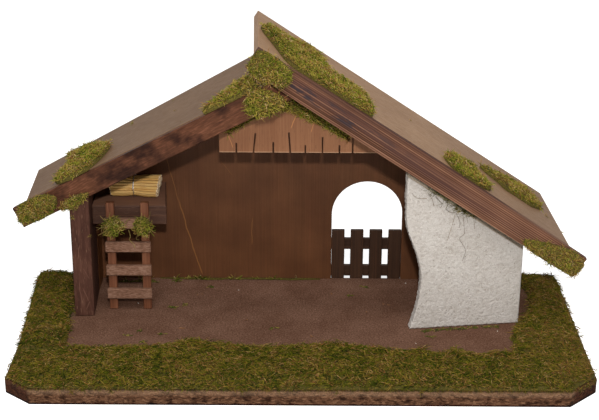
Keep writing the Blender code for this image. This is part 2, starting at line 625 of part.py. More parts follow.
def make_border():
    """Moss along the base's front and sides, and along the foot of the back wall."""
    half = BASE_WIDTH / 2
    on_mat = (0, 0, STAND)
    inner = through([(share * half, depth * MM - BACK) for share, depth in BORDER_FRONT], PAD_STEPS)
    outer = [(x, front_edge(x, MOSS_INSET)) for x, _ in inner]
    moss("moss_border_front", (inner, outer), BORDER_HEIGHT, location=on_mat)
    sides = ((-1, "left", POST_LEFT, BORDER_LEFT), (1, "right", SHELL_RIGHT, BORDER_RIGHT))
    for side, name, face, strip in sides:
        inner = through([(face + side * out * MM, BACK - y * MM) for y, out in strip], PAD_STEPS)
        outer = [(side * (half - MOSS_INSET), y) for _, y in inner]
        moss(f"moss_border_{name}", (inner, outer), BORDER_HEIGHT, location=on_mat)
    start_x, end_x = FOOT_STRIP
    places = [start_x + (end_x - start_x) * step / FOOT_STEPS for step in range(FOOT_STEPS + 1)]
    inner = [(x, WALL_FRONT - FOOT_WIDTH) for x in places]
    outer = [(x, WALL_FRONT - GAP) for x in places]
    moss("moss_wall_foot", (inner, outer), FOOT_HEIGHT, location=on_mat, rows=FOOT_ROWS)


def make_pads(right, left, barge, plaster, ladder, top_rung):
    """Pads and tufts of moss on the roof, the bargeboards, the gable, the wall and the ladder."""
    above = (0, 0, GAP)
    pad("roof_ridge", RIDGE_PAD, "ridge", right, above)
    pad("roof_middle", MIDDLE_PAD, "middle", right, above)
    pad("roof_lower", LOWER_PAD, "lower", right, above)
    pad("roof_left", LEFT_PAD, "left", left, above)
    pad("ridge_left", RIDGE_LEFT_PAD, "ridge_left", left, above)
    in_front = (0, -GAP, 0)
    right_front = (0, RIGHT_BOARD_FRONT - GAP, 0)
    pad("peak", PEAK_PAD, "peak", right, right_front, upright())
    pad("eave_right", RIGHT_EAVE_PAD, "eave", right, right_front, upright())
    pad("eave_left", LEFT_EAVE_PAD, "eave", barge, in_front, upright())
    pad("post", POST_PAD, "post", barge, in_front, upright())
    pad("joint", JOINT_PAD, "joint", barge, in_front, upright())
    pad("gable", GABLE_PAD, "gable", None, (0, GABLE_FRONT - GAP, GABLE_FOOT), upright())
    pad("plaster", PLASTER_PAD, "plaster", plaster, (0, -GAP, PLASTER_RISE), upright())
    rung_front = (0, -RUNG_DEPTH - 2 * GAP, top_rung)
    pad("ladder_left", LADDER_LEFT_PAD, "ladder", ladder, rung_front, upright())
    pad("ladder_right", LADDER_RIGHT_PAD, "ladder", ladder, rung_front, upright())


def build():
    right, left, barge = make_frames()
    over_right, over_left, joint = make_cutters(right, left)
    make_base()
    make_roof(right, left, barge, over_right, joint)
    plaster = make_walls(over_right, over_left)
    make_gable(over_right, over_left)
    make_loft()
    ladder, top_rung = make_ladder()
    make_bundle()
    make_fence()
    make_border()
    make_pads(right, left, barge, plaster, ladder, top_rung)


build()
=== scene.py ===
import math
import random

import bpy
import bmesh
from mathutils import Matrix, Vector, noise


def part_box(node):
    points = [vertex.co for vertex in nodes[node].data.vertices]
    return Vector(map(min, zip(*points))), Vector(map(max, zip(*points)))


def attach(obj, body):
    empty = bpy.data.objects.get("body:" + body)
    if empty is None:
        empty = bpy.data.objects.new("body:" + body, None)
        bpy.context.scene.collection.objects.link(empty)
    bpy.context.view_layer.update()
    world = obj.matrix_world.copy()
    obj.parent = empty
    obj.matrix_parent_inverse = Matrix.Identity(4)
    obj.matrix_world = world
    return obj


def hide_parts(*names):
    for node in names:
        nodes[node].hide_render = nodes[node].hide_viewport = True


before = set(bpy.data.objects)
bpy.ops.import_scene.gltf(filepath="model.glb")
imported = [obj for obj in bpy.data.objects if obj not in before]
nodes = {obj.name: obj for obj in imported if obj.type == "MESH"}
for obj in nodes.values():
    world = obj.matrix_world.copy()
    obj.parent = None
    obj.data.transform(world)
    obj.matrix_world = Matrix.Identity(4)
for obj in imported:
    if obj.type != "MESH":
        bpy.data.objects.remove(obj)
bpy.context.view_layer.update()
print("frame loaded:", len(nodes), "nodes")

mm = 0.001


def linear(hexCode):
    # sRGB hex to the linear values that shader sockets take
    values = []
    for start in (0, 2, 4):
        share = int(hexCode[start:start + 2], 16) / 255
        values.append(share / 12.92 if share <= 0.04045 else ((share + 0.055) / 1.055) ** 2.4)
    return (*values, 1.0)


def node(owner, kind, *inputs, **settings):
    # adds one node to the tree of a material or world or to a geometry tree. Its inputs are values,
    # sockets or nodes in their order, or by name in a dictionary, and settings are its own values.
    tree = getattr(owner, "node_tree", owner)
    made = tree.nodes.new(kind)
    stops = settings.pop("stops", ())
    for name, value in settings.items():
        setattr(made, name, value)
    if stops:
        elements = made.color_ramp.elements
        while len(elements) < len(stops):
            elements.new(0.5)
        for element, (place, value) in zip(elements, stops):
            element.position = place
            element.color = linear(value) if isinstance(value, str) else (value, value, value, 1)
    named = dict(enumerate(value for value in inputs if not isinstance(value, dict)))
    for part in inputs:
        if isinstance(part, dict):
            named.update(part)
    for name, value in named.items():
        socket = made.inputs[name]
        if isinstance(value, bpy.types.Node):
            value = value.outputs[0]
        if isinstance(value, bpy.types.NodeSocket):
            tree.links.new(value, socket)
        elif isinstance(value, str) and socket.type == "RGBA":
            socket.default_value = linear(value)
        else:
            socket.default_value = value
    return made


def newMaterial(name):
    material = bpy.data.materials.new(name)
    material.use_nodes = True
    material.node_tree.nodes.clear()
    return material


def toned(material, colour, source, stops, share=1.0):
    # the colour darkened by a ramp over source
    shade = node(material, "ShaderNodeValToRGB", source, stops=stops)
    return node(material, "ShaderNodeMix", {0: share, 6: colour, 7: shade},
                data_type="RGBA", blend_type="MULTIPLY").outputs[2]


def placed(material, scale=(1, 1, 1), turn=(0, 0, 0)):
    # object coordinates, turned so that X runs along the grain, then scaled
    coordinates = node(material, "ShaderNodeTexCoord")
    turned = node(material, "ShaderNodeMapping",
                  {"Rotation": turn, "Vector": coordinates.outputs["Object"]})
    return node(material, "ShaderNodeMapping", {"Scale": scale, "Vector": turned.outputs[0]}).outputs[0]


def axisOf(material, axis, turn=(0, 0, 0)):
    # how far along X, Y or Z each point lies
    spot = placed(material, (1, 1, 1), turn)
    return node(material, "ShaderNodeSeparateXYZ", {"Vector": spot}).outputs[axis]


def surface(material, colour, roughness, height=None, bump=0.3, depth=0.001, gloss=0.2, **extra):
    # the material's shader, with the relief that height gives
    shader = node(material, "ShaderNodeBsdfPrincipled",
                  {"Base Color": colour, "Roughness": roughness, "IOR": 1.45, "Specular IOR Level": gloss,
                   **extra})
    if height is not None:
        relief = node(material, "ShaderNodeBump", {"Strength": bump, "Distance": depth, "Height": height})
        material.node_tree.links.new(relief.outputs[0], shader.inputs["Normal"])
    node(material, "ShaderNodeOutputMaterial", shader)
    return material


def asMesh(shape, name):
    mesh = bpy.data.meshes.new(name)
    shape.to_mesh(mesh)
    shape.free()
    return mesh


def asObject(name, mesh, material=None):
    piece = bpy.data.objects.new(name, mesh)
    bpy.context.scene.collection.objects.link(piece)
    if material:
        mesh.materials.clear()
        mesh.materials.append(material)
    return piece


stable = {
    # the roof's slopes, the turn and slope of the left bargeboard, the turn of the plastered wall and
    # the mat's top, as in the CAD
    "rightSlope": math.radians(33.28),
    "leftSlope": math.radians(29.06),
    "leftBoardTurn": math.radians(9.31),
    "leftBoardSlope": math.radians(28.74),
    "plasterTurn": math.radians(8.1),
    "floor": 18 * mm,
}


def streaked(material, colour, streaks):
    # thin lines of paler wood, each from its foot (x, z) to its head (x, z) with a half width, in mm
    up = axisOf(material, "Z")
    wander = node(material, "ShaderNodeTexNoise",
                  {"Vector": placed(material), "Scale": 55, "Detail": 2.0, "Roughness": 0.55})
    drift = node(material, "ShaderNodeMath", wander, 4 * mm, -2 * mm, operation="MULTIPLY_ADD")
    side = node(material, "ShaderNodeMath", axisOf(material, "X"), drift, operation="ADD")
    for x0, z0, x1, z1, half in streaks["lines"]:
        risen = node(material, "ShaderNodeMath", up, z0 * mm, operation="SUBTRACT")
        share = node(material, "ShaderNodeMath", risen, (z1 - z0) * mm, operation="DIVIDE")
        middle = node(material, "ShaderNodeMath", share, (x1 - x0) * mm, x0 * mm, operation="MULTIPLY_ADD")
        off = node(material, "ShaderNodeMath", side, middle, operation="SUBTRACT")
        off = node(material, "ShaderNodeMath", off, operation="ABSOLUTE")
        off = node(material, "ShaderNodeMath", off, 4 * half * mm, operation="DIVIDE")
        across = node(material, "ShaderNodeValToRGB", off, stops=[(0.1, 1.0), (0.28, 0.0)])
        ends = node(material, "ShaderNodeValToRGB", share,
                    stops=[(0.0, 0.0), (0.12, 1.0), (0.85, 1.0), (1.0, 0.0)])
        line = node(material, "ShaderNodeMath", across, ends, operation="MULTIPLY")
        line = node(material, "ShaderNodeMath", line, 0.85, operation="MULTIPLY")
        colour = node(material, "ShaderNodeMix", {0: line, 6: colour, 7: streaks["tone"]},
                      data_type="RGBA").outputs[2]
    return colour


def scorched(material, colour, char, lines, turn):
    # a streaky dark band that wanders down along the lath from its top edge, blue-black patches
    # where the flame stayed near the ridge, and a darker top edge
    along = node(material, "ShaderNodeMath", axisOf(material, "X", turn), char["start"],
                 operation="SUBTRACT")
    above = node(material, "ShaderNodeMath", axisOf(material, "Z", turn), char["low"], operation="SUBTRACT")
    share = node(material, "ShaderNodeMath", above, char["width"], operation="DIVIDE")
    wander = node(material, "ShaderNodeTexNoise",
                  {"Vector": placed(material, (14, 60, 60), turn), "Scale": 1.0, "Detail": 3.0,
                   "Roughness": 0.55})
    middle = node(material, "ShaderNodeMath", along, -char["fall"], char["high"], operation="MULTIPLY_ADD")
    wander = node(material, "ShaderNodeMath", wander, 0.5, operation="SUBTRACT")
    wander = node(material, "ShaderNodeMath", wander, 0.7, operation="MULTIPLY")
    offset = node(material, "ShaderNodeMath", share, middle, operation="SUBTRACT")
    offset = node(material, "ShaderNodeMath", offset, wander, operation="ADD")
    offset = node(material, "ShaderNodeMath", offset, operation="ABSOLUTE")
    band = node(material, "ShaderNodeValToRGB", offset, stops=[(0.0, 0.95), (0.18, 0.7), (0.38, 0.0)])
    streak = node(material, "ShaderNodeValToRGB", lines, stops=[(0.42, 1.0), (0.6, 0.2)])
    fading = node(material, "ShaderNodeMath", along, char["fade"], operation="DIVIDE")
    fading = node(material, "ShaderNodeValToRGB", fading, stops=[(0.65, 1.0), (1.0, 0.25)])
    band = node(material, "ShaderNodeMath", band, fading, operation="MULTIPLY")
    band = node(material, "ShaderNodeMath", band, streak, operation="MULTIPLY")
    colour = node(material, "ShaderNodeMix", {0: band, 6: colour, 7: char["tone"]},
                  data_type="RGBA").outputs[2]
    spots = node(material, "ShaderNodeTexNoise",
                 {"Vector": placed(material, (34, 150, 150), turn), "Scale": 1.0, "Detail": 3.0,
                  "Roughness": 0.6})
    spots = node(material, "ShaderNodeValToRGB", spots, stops=[(0.5, 0.0), (0.58, 0.9)])
    near = node(material, "ShaderNodeMath", along, char["reach"], operation="DIVIDE")
    near = node(material, "ShaderNodeValToRGB", near, stops=[(0.0, 1.0), (0.55, 0.9), (1.0, 0.0)])
    burnt = node(material, "ShaderNodeMath", spots, near, operation="MULTIPLY")
    lowHalf = node(material, "ShaderNodeValToRGB", share,
                   stops=[(0.16, 0.0), (0.3, 1.0), (0.62, 1.0), (0.78, 0.2)])
    burnt = node(material, "ShaderNodeMath", burnt, lowHalf, operation="MULTIPLY")
    colour = node(material, "ShaderNodeMix", {0: burnt, 6: colour, 7: char["black"]},
                  data_type="RGBA").outputs[2]
    edge = node(material, "ShaderNodeValToRGB", share, stops=[(0.93, 0.0), (1.0, 0.35)])
    return node(material, "ShaderNodeMix", {0: edge, 6: colour, 7: char["edge"]},
                data_type="RGBA").outputs[2]


def woodGrain(name, look, turn=(0, 0, 0)):
    # Softwood or plywood under thin stain: fine growth lines and broader bands along the grain, and
    # stain that took unevenly. X of the turned coordinates follows the grain.
    material = newMaterial(name)
    along = look["along"]
    fine = placed(material, (along, 1000 / look["lineMm"], 1000 / look["lineMm"]), turn)
    lines = node(material, "ShaderNodeTexNoise",
                 {"Vector": fine, "Scale": 1.0, "Detail": 3.0, "Roughness": 0.6,
                  "Distortion": look.get("wander", 0.3)})
    broad = placed(material, (along * 0.35, 1000 / look["bandMm"], 1000 / look["bandMm"]), turn)
    bands = node(material, "ShaderNodeTexNoise",
                 {"Vector": broad, "Scale": 1.0, "Detail": 4.0, "Roughness": 0.6, "Distortion": 0.6})
    blotch = node(material, "ShaderNodeTexNoise",
                  {"Vector": placed(material), "Scale": 1000 / look.get("blotchMm", 60), "Detail": 3.0,
                   "Roughness": 0.5})
    share = look["lineShare"]
    bands = node(material, "ShaderNodeMath", bands, 1 - share, operation="MULTIPLY")
    grain = node(material, "ShaderNodeMath", lines, share, bands, operation="MULTIPLY_ADD")
    colour = node(material, "ShaderNodeValToRGB", grain, stops=look["grain"])
    colour = toned(material, colour, blotch, look["stain"], look.get("stainShare", 0.5))
    if "eaveShade" in look:
        # darker towards the eave
        out = node(material, "ShaderNodeMath", axisOf(material, "X"), look["eaveReach"], operation="DIVIDE")
        colour = toned(material, colour, out, [(0.45, "ffffff"), (0.85, look["eaveShade"])])
    if "ridgeMm" in look:
        # even ridges that the brush left between the year rings
        waves = node(material, "ShaderNodeTexWave",
                     {"Vector": placed(material, (0.06, 1, 1), turn), "Detail Scale": 0.4, "Detail": 2.0,
                      "Distortion": 2.5, "Scale": math.pi / 10 / (look["ridgeMm"] * mm)},
                     wave_type="BANDS", bands_direction="Z")
        colour = toned(material, colour, waves.outputs["Fac"], [(0.1, "9a7f74"), (0.7, "ffffff")], 0.8)
    if "pores" in look:
        # short dark pores and lint caught in the stain
        fibre = placed(material, (120, 1400, 1400), turn)
        specks = node(material, "ShaderNodeTexNoise",
                      {"Vector": fibre, "Scale": 1.0, "Detail": 2.0, "Roughness": 0.5})
        specks = node(material, "ShaderNodeValToRGB", specks, stops=[(0.62, 0.0), (0.72, 1.0)])
        specks = node(material, "ShaderNodeMath", specks, 0.5, operation="MULTIPLY")
        colour = node(material, "ShaderNodeMix", {0: specks, 6: colour, 7: look["pores"]},
                      data_type="RGBA").outputs[2]
    if "foot" in look:
        # a paler band along the sawn lower edge
        above = node(material, "ShaderNodeMath", axisOf(material, "Z"), look["foot"], operation="SUBTRACT")
        above = node(material, "ShaderNodeMath", above, 2 * mm, operation="DIVIDE")
        above = node(material, "ShaderNodeValToRGB", above, stops=[(0.0, 0.7), (0.6, 0.0)])
        colour = node(material, "ShaderNodeMix", {0: above, 6: colour, 7: "c09a78"},
                      data_type="RGBA").outputs[2]
    if "streaks" in look:
        colour = streaked(material, colour, look["streaks"])
    if "top" in look:
        # painted light: the upper face painted paler, standing in for light that the roof's shadow keeps off
        # it
        above = node(material, "ShaderNodeMath", axisOf(material, "Z"), look["top"] - mm,
                     operation="SUBTRACT")
        above = node(material, "ShaderNodeMath", above, mm, operation="DIVIDE")
        above = node(material, "ShaderNodeValToRGB", above, stops=[(0.8, 0.0), (0.95, 0.5)])
        colour = node(material, "ShaderNodeMix", {0: above, 6: colour, 7: "9a6f58"},
                      data_type="RGBA").outputs[2]
    if "char" in look:
        colour = scorched(material, colour, look["char"], lines, turn)
    rough = node(material, "ShaderNodeValToRGB", lines,
                 stops=[(0.3, look["rough"] + 0.1), (0.7, look["rough"] - 0.08)])
    return surface(material, colour, rough, grain, look["bump"], 0.6 * mm, look.get("gloss", 0.2))


# turns that bring each piece's grain onto X
upGrain = (0, math.radians(90), 0)
rightSlopeGrain = (0, -stable["rightSlope"], 0)
leftSlopeGrain = (0, stable["leftSlope"], 0)

# lineMm and bandMm are the widths of the growth lines and of the broader bands, along is how many
# times a metre they change along the grain
roofPly = {"lineMm": 0.9, "bandMm": 16, "along": 150, "lineShare": 0.75, "rough": 0.6, "bump": 0.06,
           "stain": [(0.3, "d0c5bb"), (0.7, "ffffff")]}
sawnSpruce = {"lineMm": 1.2, "bandMm": 8, "along": 8, "lineShare": 0.55, "rough": 0.6, "bump": 0.4,
              "stain": [(0.3, "bbaea9"), (0.7, "ffffff")]}

woods = {
    "backWall": {"lineMm": 0.9, "bandMm": 14, "along": 9, "lineShare": 0.6, "rough": 0.55, "bump": 0.08,
                 "grain": [(0.3, "54331e"), (0.5, "5c3921"), (0.7, "663e26")], "blotchMm": 45,
                 "stain": [(0.34, "b9aba2"), (0.66, "ffffff")], "pores": "3a2214",
                 "streaks": {"tone": "80532b", "lines": [
                     (-115.5, 22, -126, 60, 0.8), (-124, 50, -142, 120, 0.8), (-141, 112, -155, 173, 0.4),
                     (-78, 146, -93, 165, 0.2), (-58, 60, -57, 96, 0.4), (142, 90, 140, 118, 0.4)]}},
    "sideWall": {"lineMm": 0.9, "bandMm": 9, "along": 9, "lineShare": 0.55, "rough": 0.5, "bump": 0.1,
                 "grain": [(0.3, "543119"), (0.5, "643c1e"), (0.75, "7a502b")],
                 "stain": [(0.3, "c9bdb8"), (0.7, "ffffff")], "pores": "2c180f"},
    "gable": {"lineMm": 1.0, "bandMm": 12, "along": 9, "lineShare": 0.55, "rough": 0.55, "bump": 0.1,
              "grain": [(0.3, "75492f"), (0.5, "855a3d"), (0.7, "986a49")],
              "stain": [(0.3, "cdc0b8"), (0.7, "ffffff")], "pores": "5a3a26", "foot": 207.5 * mm,
              "streaks": {"tone": "ad7446", "lines": [
                  (-12.5, 234, -6.5, 251, 0.5), (8.5, 230, 13, 243, 0.45),
                  (-73.5, 212, -80, 230, 0.45), (56, 222, 58, 230, 0.3)]}},
    "roofRight": {**roofPly, "grain": [(0.3, "8c6c50"), (0.5, "99795c"), (0.7, "a68668")],
                  "pores": "6b503b", "eaveShade": "d9d8d8", "eaveReach": 300 * mm},
    "roofLeft": {**roofPly, "grain": [(0.3, "684f38"), (0.5, "70563f"), (0.7, "7b6048")],
                 "pores": "54402f"},
    "rightBoard": {"lineMm": 1.1, "bandMm": 9, "along": 4, "lineShare": 0.8, "rough": 0.7, "bump": 0.7,
                   "ridgeMm": 2.1, "gloss": 0.1, "wander": 0.1,
                   "grain": [(0.34, "4c3326"), (0.45, "694836"), (0.56, "805c48"), (0.68, "98735b")],
                   "stain": [(0.3, "9c8c86"), (0.7, "ffffff")],
                   # places in the turned coordinates: the lath's ridge end, lower edge and width
                   "char": {"start": -220.7 * mm, "low": 230.3 * mm, "width": 24 * mm,
                            "high": 0.72, "fall": 1.0, "reach": 210 * mm, "fade": 340 * mm,
                            "tone": "432c28", "black": "2a262b", "edge": "46302a"}},
    "leftBoard": {"lineMm": 1.3, "bandMm": 9, "along": 6, "lineShare": 0.55, "rough": 0.6, "bump": 0.4,
                  "grain": [(0.3, "3a1f15"), (0.5, "50301f"), (0.7, "704632")], "gloss": 0.12,
                  "stain": [(0.36, "6c5c56"), (0.56, "ffffff")], "stainShare": 0.9, "blotchMm": 24},
    "batten": {"lineMm": 2.6, "bandMm": 12, "along": 60, "lineShare": 0.5, "rough": 0.75, "bump": 0.8,
               "grain": [(0.3, "3c261e"), (0.5, "4d3127"), (0.7, "5f4033")], "gloss": 0.1,
               "stain": [(0.3, "bbaea9"), (0.7, "ffffff")], "pores": "86664f",
               "streaks": {"tone": "664739", "lines": [
                   (-241, 30, -243, 62, 0.5), (-234, 36, -239, 52, 0.5), (-232, 62, -238, 76, 0.3),
                   (-237, 26, -233, 36, 0.5), (-243, 86, -241, 104, 0.4)]}},
    "loft": {**sawnSpruce, "grain": [(0.3, "33201a"), (0.5, "442c20"), (0.7, "583a2a")], "pores": "6e5040"},
    "fence": {**sawnSpruce, "grain": [(0.3, "2c1b13"), (0.5, "3c2719"), (0.7, "4e3323")]},
    "ladderRail": {"lineMm": 0.9, "bandMm": 5, "along": 12, "lineShare": 0.5, "rough": 0.6, "bump": 0.3,
                   "grain": [(0.3, "4e2c1a"), (0.5, "6a402a"), (0.7, "875a40")],
                   "stain": [(0.3, "b9a89f"), (0.7, "ffffff")]},
    "ladderRung": {"lineMm": 1.0, "bandMm": 5, "along": 220, "lineShare": 0.75, "rough": 0.9, "bump": 0.8,
                   "grain": [(0.34, "5b4233"), (0.48, "785947"), (0.6, "8d6d5b"), (0.74, "a58775")],
                   "stain": [(0.3, "c9b5ae"), (0.7, "ffffff")], "pores": "553829", "gloss": 0.04},
}

# cornerFrom is where the two cut corners begin, to either side
boardLook = {"thickness": 16 * mm, "cornerFrom": 275 * mm, "chipsPerMetre": 330}


def chipboard():
    # Stained chipboard: pressed chips cut across at the edge, paler and furry at the top,
    # dark gaps between the chips and a dark red line of stain along the foot
    material = newMaterial("stained chipboard")
    chips = node(material, "ShaderNodeTexVoronoi",
                 {"Scale": boardLook["chipsPerMetre"], "Randomness": 1.0,
                  "Vector": placed(material, (1, 1, 2.4))})
    tone = node(material, "ShaderNodeSeparateColor", {"Color": chips.outputs["Color"]}).outputs["Red"]
    gaps = node(material, "ShaderNodeTexNoise",
                {"Vector": placed(material, (1, 1, 1.6)), "Scale": 120, "Detail": 3.0, "Roughness": 0.6})
    dust = node(material, "ShaderNodeTexNoise",
                {"Vector": placed(material), "Scale": 900, "Detail": 3.0, "Roughness": 0.7})
    colour = node(material, "ShaderNodeValToRGB", tone,
                  stops=[(0.0, "432f21"), (0.3, "583f2f"), (0.7, "674b38"), (1.0, "7f624c")])
    colour = toned(material, colour, gaps, [(0.36, "6e5b4d"), (0.5, "ffffff")], 0.9)
    colour = toned(material, colour, dust, [(0.35, "c4b8b0"), (0.65, "ffffff")], 0.6)
    ragged = node(material, "ShaderNodeTexNoise",
                  {"Vector": placed(material), "Scale": 160, "Detail": 3.0, "Roughness": 0.55})
    ragged = node(material, "ShaderNodeMath", ragged, 4 * mm, -2 * mm, operation="MULTIPLY_ADD")
    level = node(material, "ShaderNodeMath", axisOf(material, "Z"), ragged, operation="ADD")
    share = node(material, "ShaderNodeMath", level, boardLook["thickness"], operation="DIVIDE")
    colour = toned(material, colour, share, [(0.0, "5a3026"), (0.1, "7a5244"), (0.17, "f6eee6"),
                                             (0.6, "ece0d6"), (0.78, "fffaf2"), (1.0, "fff6ea")])
    high = node(material, "ShaderNodeValToRGB", share, stops=[(0.6, 0.0), (0.9, 0.4)])
    hairs = node(material, "ShaderNodeValToRGB", dust, stops=[(0.4, 0.3), (0.6, 1.0)])
    fur = node(material, "ShaderNodeMath", high, hairs, operation="MULTIPLY")
    colour = node(material, "ShaderNodeMix", {0: fur, 6: colour, 7: "9a7c62"}, data_type="RGBA").outputs[2]
    # the two cut corners darker
    corner = node(material, "ShaderNodeMath", axisOf(material, "X"), operation="ABSOLUTE")
    corner = node(material, "ShaderNodeMath", corner, boardLook["cornerFrom"], operation="DIVIDE")
    darkerCorners = node(material, "ShaderNodeValToRGB", corner, stops=[(0.985, 0.0), (1.0, 0.85)])
    colour = node(material, "ShaderNodeMix", {0: darkerCorners, 6: colour, 7: "a07c70"}, data_type="RGBA",
                  blend_type="MULTIPLY").outputs[2]
    height = node(material, "ShaderNodeMath", chips.outputs["Distance"], dust, operation="ADD")
    return surface(material, colour, 0.9, height, 0.7, 0.8 * mm, 0.08)


# depth is how far back the painted light on the mat lies
flockLook = {"fibresPerMetre": 560, "patchesPerMetre": 28, "depth": 120 * mm}


def flock():
    # Flock mat: short brown fibres on paper, a soft warm speckle
    material = newMaterial("brown flock mat")
    fibres = node(material, "ShaderNodeTexNoise",
                  {"Vector": placed(material), "Scale": flockLook["fibresPerMetre"], "Detail": 3.0,
                   "Roughness": 0.75})
    patch = node(material, "ShaderNodeTexNoise",
                 {"Vector": placed(material), "Scale": flockLook["patchesPerMetre"], "Detail": 3.0,
                  "Roughness": 0.55})
    colour = node(material, "ShaderNodeValToRGB", fibres,
                  stops=[(0.3, "583c2e"), (0.47, "745543"), (0.6, "896656"), (0.75, "a98774")])
    colour = toned(material, colour, patch, [(0.35, "cfc5bd"), (0.65, "ffffff")], 0.7)
    # painted light: darker to the front and paler along the back wall, standing in for light that reaches the
    # mat under the roof
    back = node(material, "ShaderNodeMath", axisOf(material, "Y"), flockLook["depth"], operation="DIVIDE")
    colour = toned(material, colour, back, [(0.5, "dddcdb"), (0.95, "ffffff")])
    return surface(material, colour, 0.95, fibres, 0.5, 0.5 * mm, 0.05)


plasterLook = {
    "facet": 1.1 * mm, "pit": 0.6 * mm, "edgePit": 1.5 * mm,
    # the coarse and the fine lumps that are thrown on, and the stone grains in the colour: how many
    # a metre, how far from each one's middle the colour is plain again, and where it is darkest
    "lumps": (2.6 * mm, 1.4 * mm), "grains": ((150.0, 0.11, 0.05), (420.0, 0.16, 0.1)),
    # the line from which the painted shadow under the right board is measured down, and that painted shadow's
    # width
    "eave": 278 * mm, "eaveRise": 0.697, "strip": 8 * mm,
}


def plaster():
    # Rough lime plaster: cool grey-white, full of fine sand, with small pits and a few dark grains
    material = newMaterial("rough lime plaster")
    sand = node(material, "ShaderNodeTexNoise",
                {"Vector": placed(material), "Scale": 900, "Detail": 3.0, "Roughness": 0.7})
    lumps = node(material, "ShaderNodeTexNoise",
                 {"Vector": placed(material), "Scale": 240, "Detail": 3.0, "Roughness": 0.6})
    swell = node(material, "ShaderNodeTexNoise",
                 {"Vector": placed(material), "Scale": 40, "Detail": 5.0, "Roughness": 0.6})
    colour = node(material, "ShaderNodeValToRGB", swell,
                  stops=[(0.3, "bfb8b0"), (0.5, "c4bdb6"), (0.7, "c9c3bc")])
    colour = toned(material, colour, lumps, [(0.34, "e0dbd5"), (0.5, "ffffff")], 0.5)
    colour = toned(material, colour, sand, [(0.35, "d6d0c8"), (0.6, "ffffff")], 0.6)
    for perMetre, far, near in plasterLook["grains"]:
        grains = node(material, "ShaderNodeTexVoronoi", {"Scale": perMetre, "Vector": placed(material)})
        colour = toned(material, colour, grains.outputs["Distance"],
                       [(near, "7a6a58"), (far, "ffffff")], 0.6)
    # painted shadow: a greyer strip just below the right board, widening the shadow the board casts on the
    # wall
    line = node(material, "ShaderNodeMath", axisOf(material, "X"), plasterLook["eaveRise"],
                axisOf(material, "Z"), operation="MULTIPLY_ADD")
    below = node(material, "ShaderNodeMath", plasterLook["eave"], line, operation="SUBTRACT")
    below = node(material, "ShaderNodeMath", below, plasterLook["strip"], operation="DIVIDE")
    strip = node(material, "ShaderNodeValToRGB", below, stops=[(0.85, 1.0), (1.0, 0.0)])
    colour = node(material, "ShaderNodeMix", {0: strip, 6: colour, 7: "c3b9aa"}, data_type="RGBA",
                  blend_type="MULTIPLY").outputs[2]
    height = node(material, "ShaderNodeMath", sand, 0.5, lumps, operation="MULTIPLY_ADD")
    return surface(material, colour, 0.92, height, 0.9, 1.8 * mm, 0.08)


def throwPlaster():
    # the wall's own skin: the CAD body in fine facets, its front and its wavy edge pitted
    wall = asObject("thrown_plaster", nodes["plaster_wall"].data.copy(), plaster())
    facets = wall.modifiers.new("facets", "REMESH")
    facets.mode = "VOXEL"
    facets.voxel_size = plasterLook["facet"]
    depsgraph = bpy.context.evaluated_depsgraph_get()
    mesh = bpy.data.meshes.new_from_object(wall.evaluated_get(depsgraph))
    wall.modifiers.clear()
    wall.data = mesh
    turn = Matrix.Rotation(stable["plasterTurn"], 3, "Z")
    ahead, beside = turn @ Vector((0, -1, 0)), turn @ Vector((-1, 0, 0))
    broad, fine = plasterLook["lumps"]
    normals = [vertex.normal.copy() for vertex in mesh.vertices]
    for vertex, normal in zip(mesh.vertices, normals):
        if max(normal.dot(ahead), normal.dot(beside)) > 0.3:
            lump = 0.5 + 0.6 * noise.noise(vertex.co / broad) + 0.4 * noise.noise(vertex.co / fine)
            pit = plasterLook["edgePit" if normal.dot(beside) > 0.5 else "pit"]
            vertex.co -= normal * pit * max(0.0, lump)
    for polygon in mesh.polygons:
        polygon.use_smooth = True
    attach(wall, "root")
    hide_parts("plaster_wall")
    print("plaster thrown:", len(mesh.polygons), "faces")


def steelWire():
    # Drawn steel wire: bright, lightly scratched
    material = newMaterial("drawn steel wire")
    scratches = node(material, "ShaderNodeTexNoise",
                     {"Vector": placed(material), "Scale": 1500, "Detail": 2.0, "Roughness": 0.55})
    rough = node(material, "ShaderNodeValToRGB", scratches, stops=[(0.3, 0.22), (0.7, 0.38)])
    return surface(material, "c9cbcf", rough, scratches, 0.1, 0.1 * mm, 0.5, Metallic=1.0)


def dressNodes():
    # top is the plank's upper face, which gets painted light
    loft = {**woods["loft"], "top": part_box("loft_plank")[1].z}
    # how the names of the nodes begin, and what they are made of
    dress = {
        "back_wall": woodGrain("stained plywood", woods["backWall"], upGrain),
        "side_wall": woodGrain("stained plywood side", woods["sideWall"], upGrain),
        "gable_panel": woodGrain("pale stained plywood", woods["gable"], upGrain),
        "roof_right": woodGrain("satin plywood right", woods["roofRight"], rightSlopeGrain),
        "roof_left": woodGrain("satin plywood left", woods["roofLeft"], leftSlopeGrain),
        "bargeboard_right": woodGrain("charred spruce lath", woods["rightBoard"], rightSlopeGrain),
        "bargeboard_left": woodGrain("scorched spruce lath", woods["leftBoard"], leftSlopeGrain),
        "corner_post": woodGrain("sawn spruce post", woods["batten"], upGrain),
        "loft_plank": woodGrain("sawn spruce plank", loft),
        "ladder_rail": woodGrain("ladder rail pine", woods["ladderRail"], upGrain),
        "ladder_rung": woodGrain("ladder rung pine", woods["ladderRung"]),
        "fence_picket": woodGrain("sawn spruce picket", woods["fence"], upGrain),
        "fence_rail": woodGrain("sawn spruce rail", woods["fence"]),
        "base_board": chipboard(), "floor_mat": flock(), "bundle_wire": steelWire(),
    }
    for name, piece in nodes.items():
        for beginning, material in dress.items():
            if name.startswith(beginning):
                piece.data.materials.clear()
                piece.data.materials.append(material)
    throwPlaster()
    print("CAD nodes dressed")


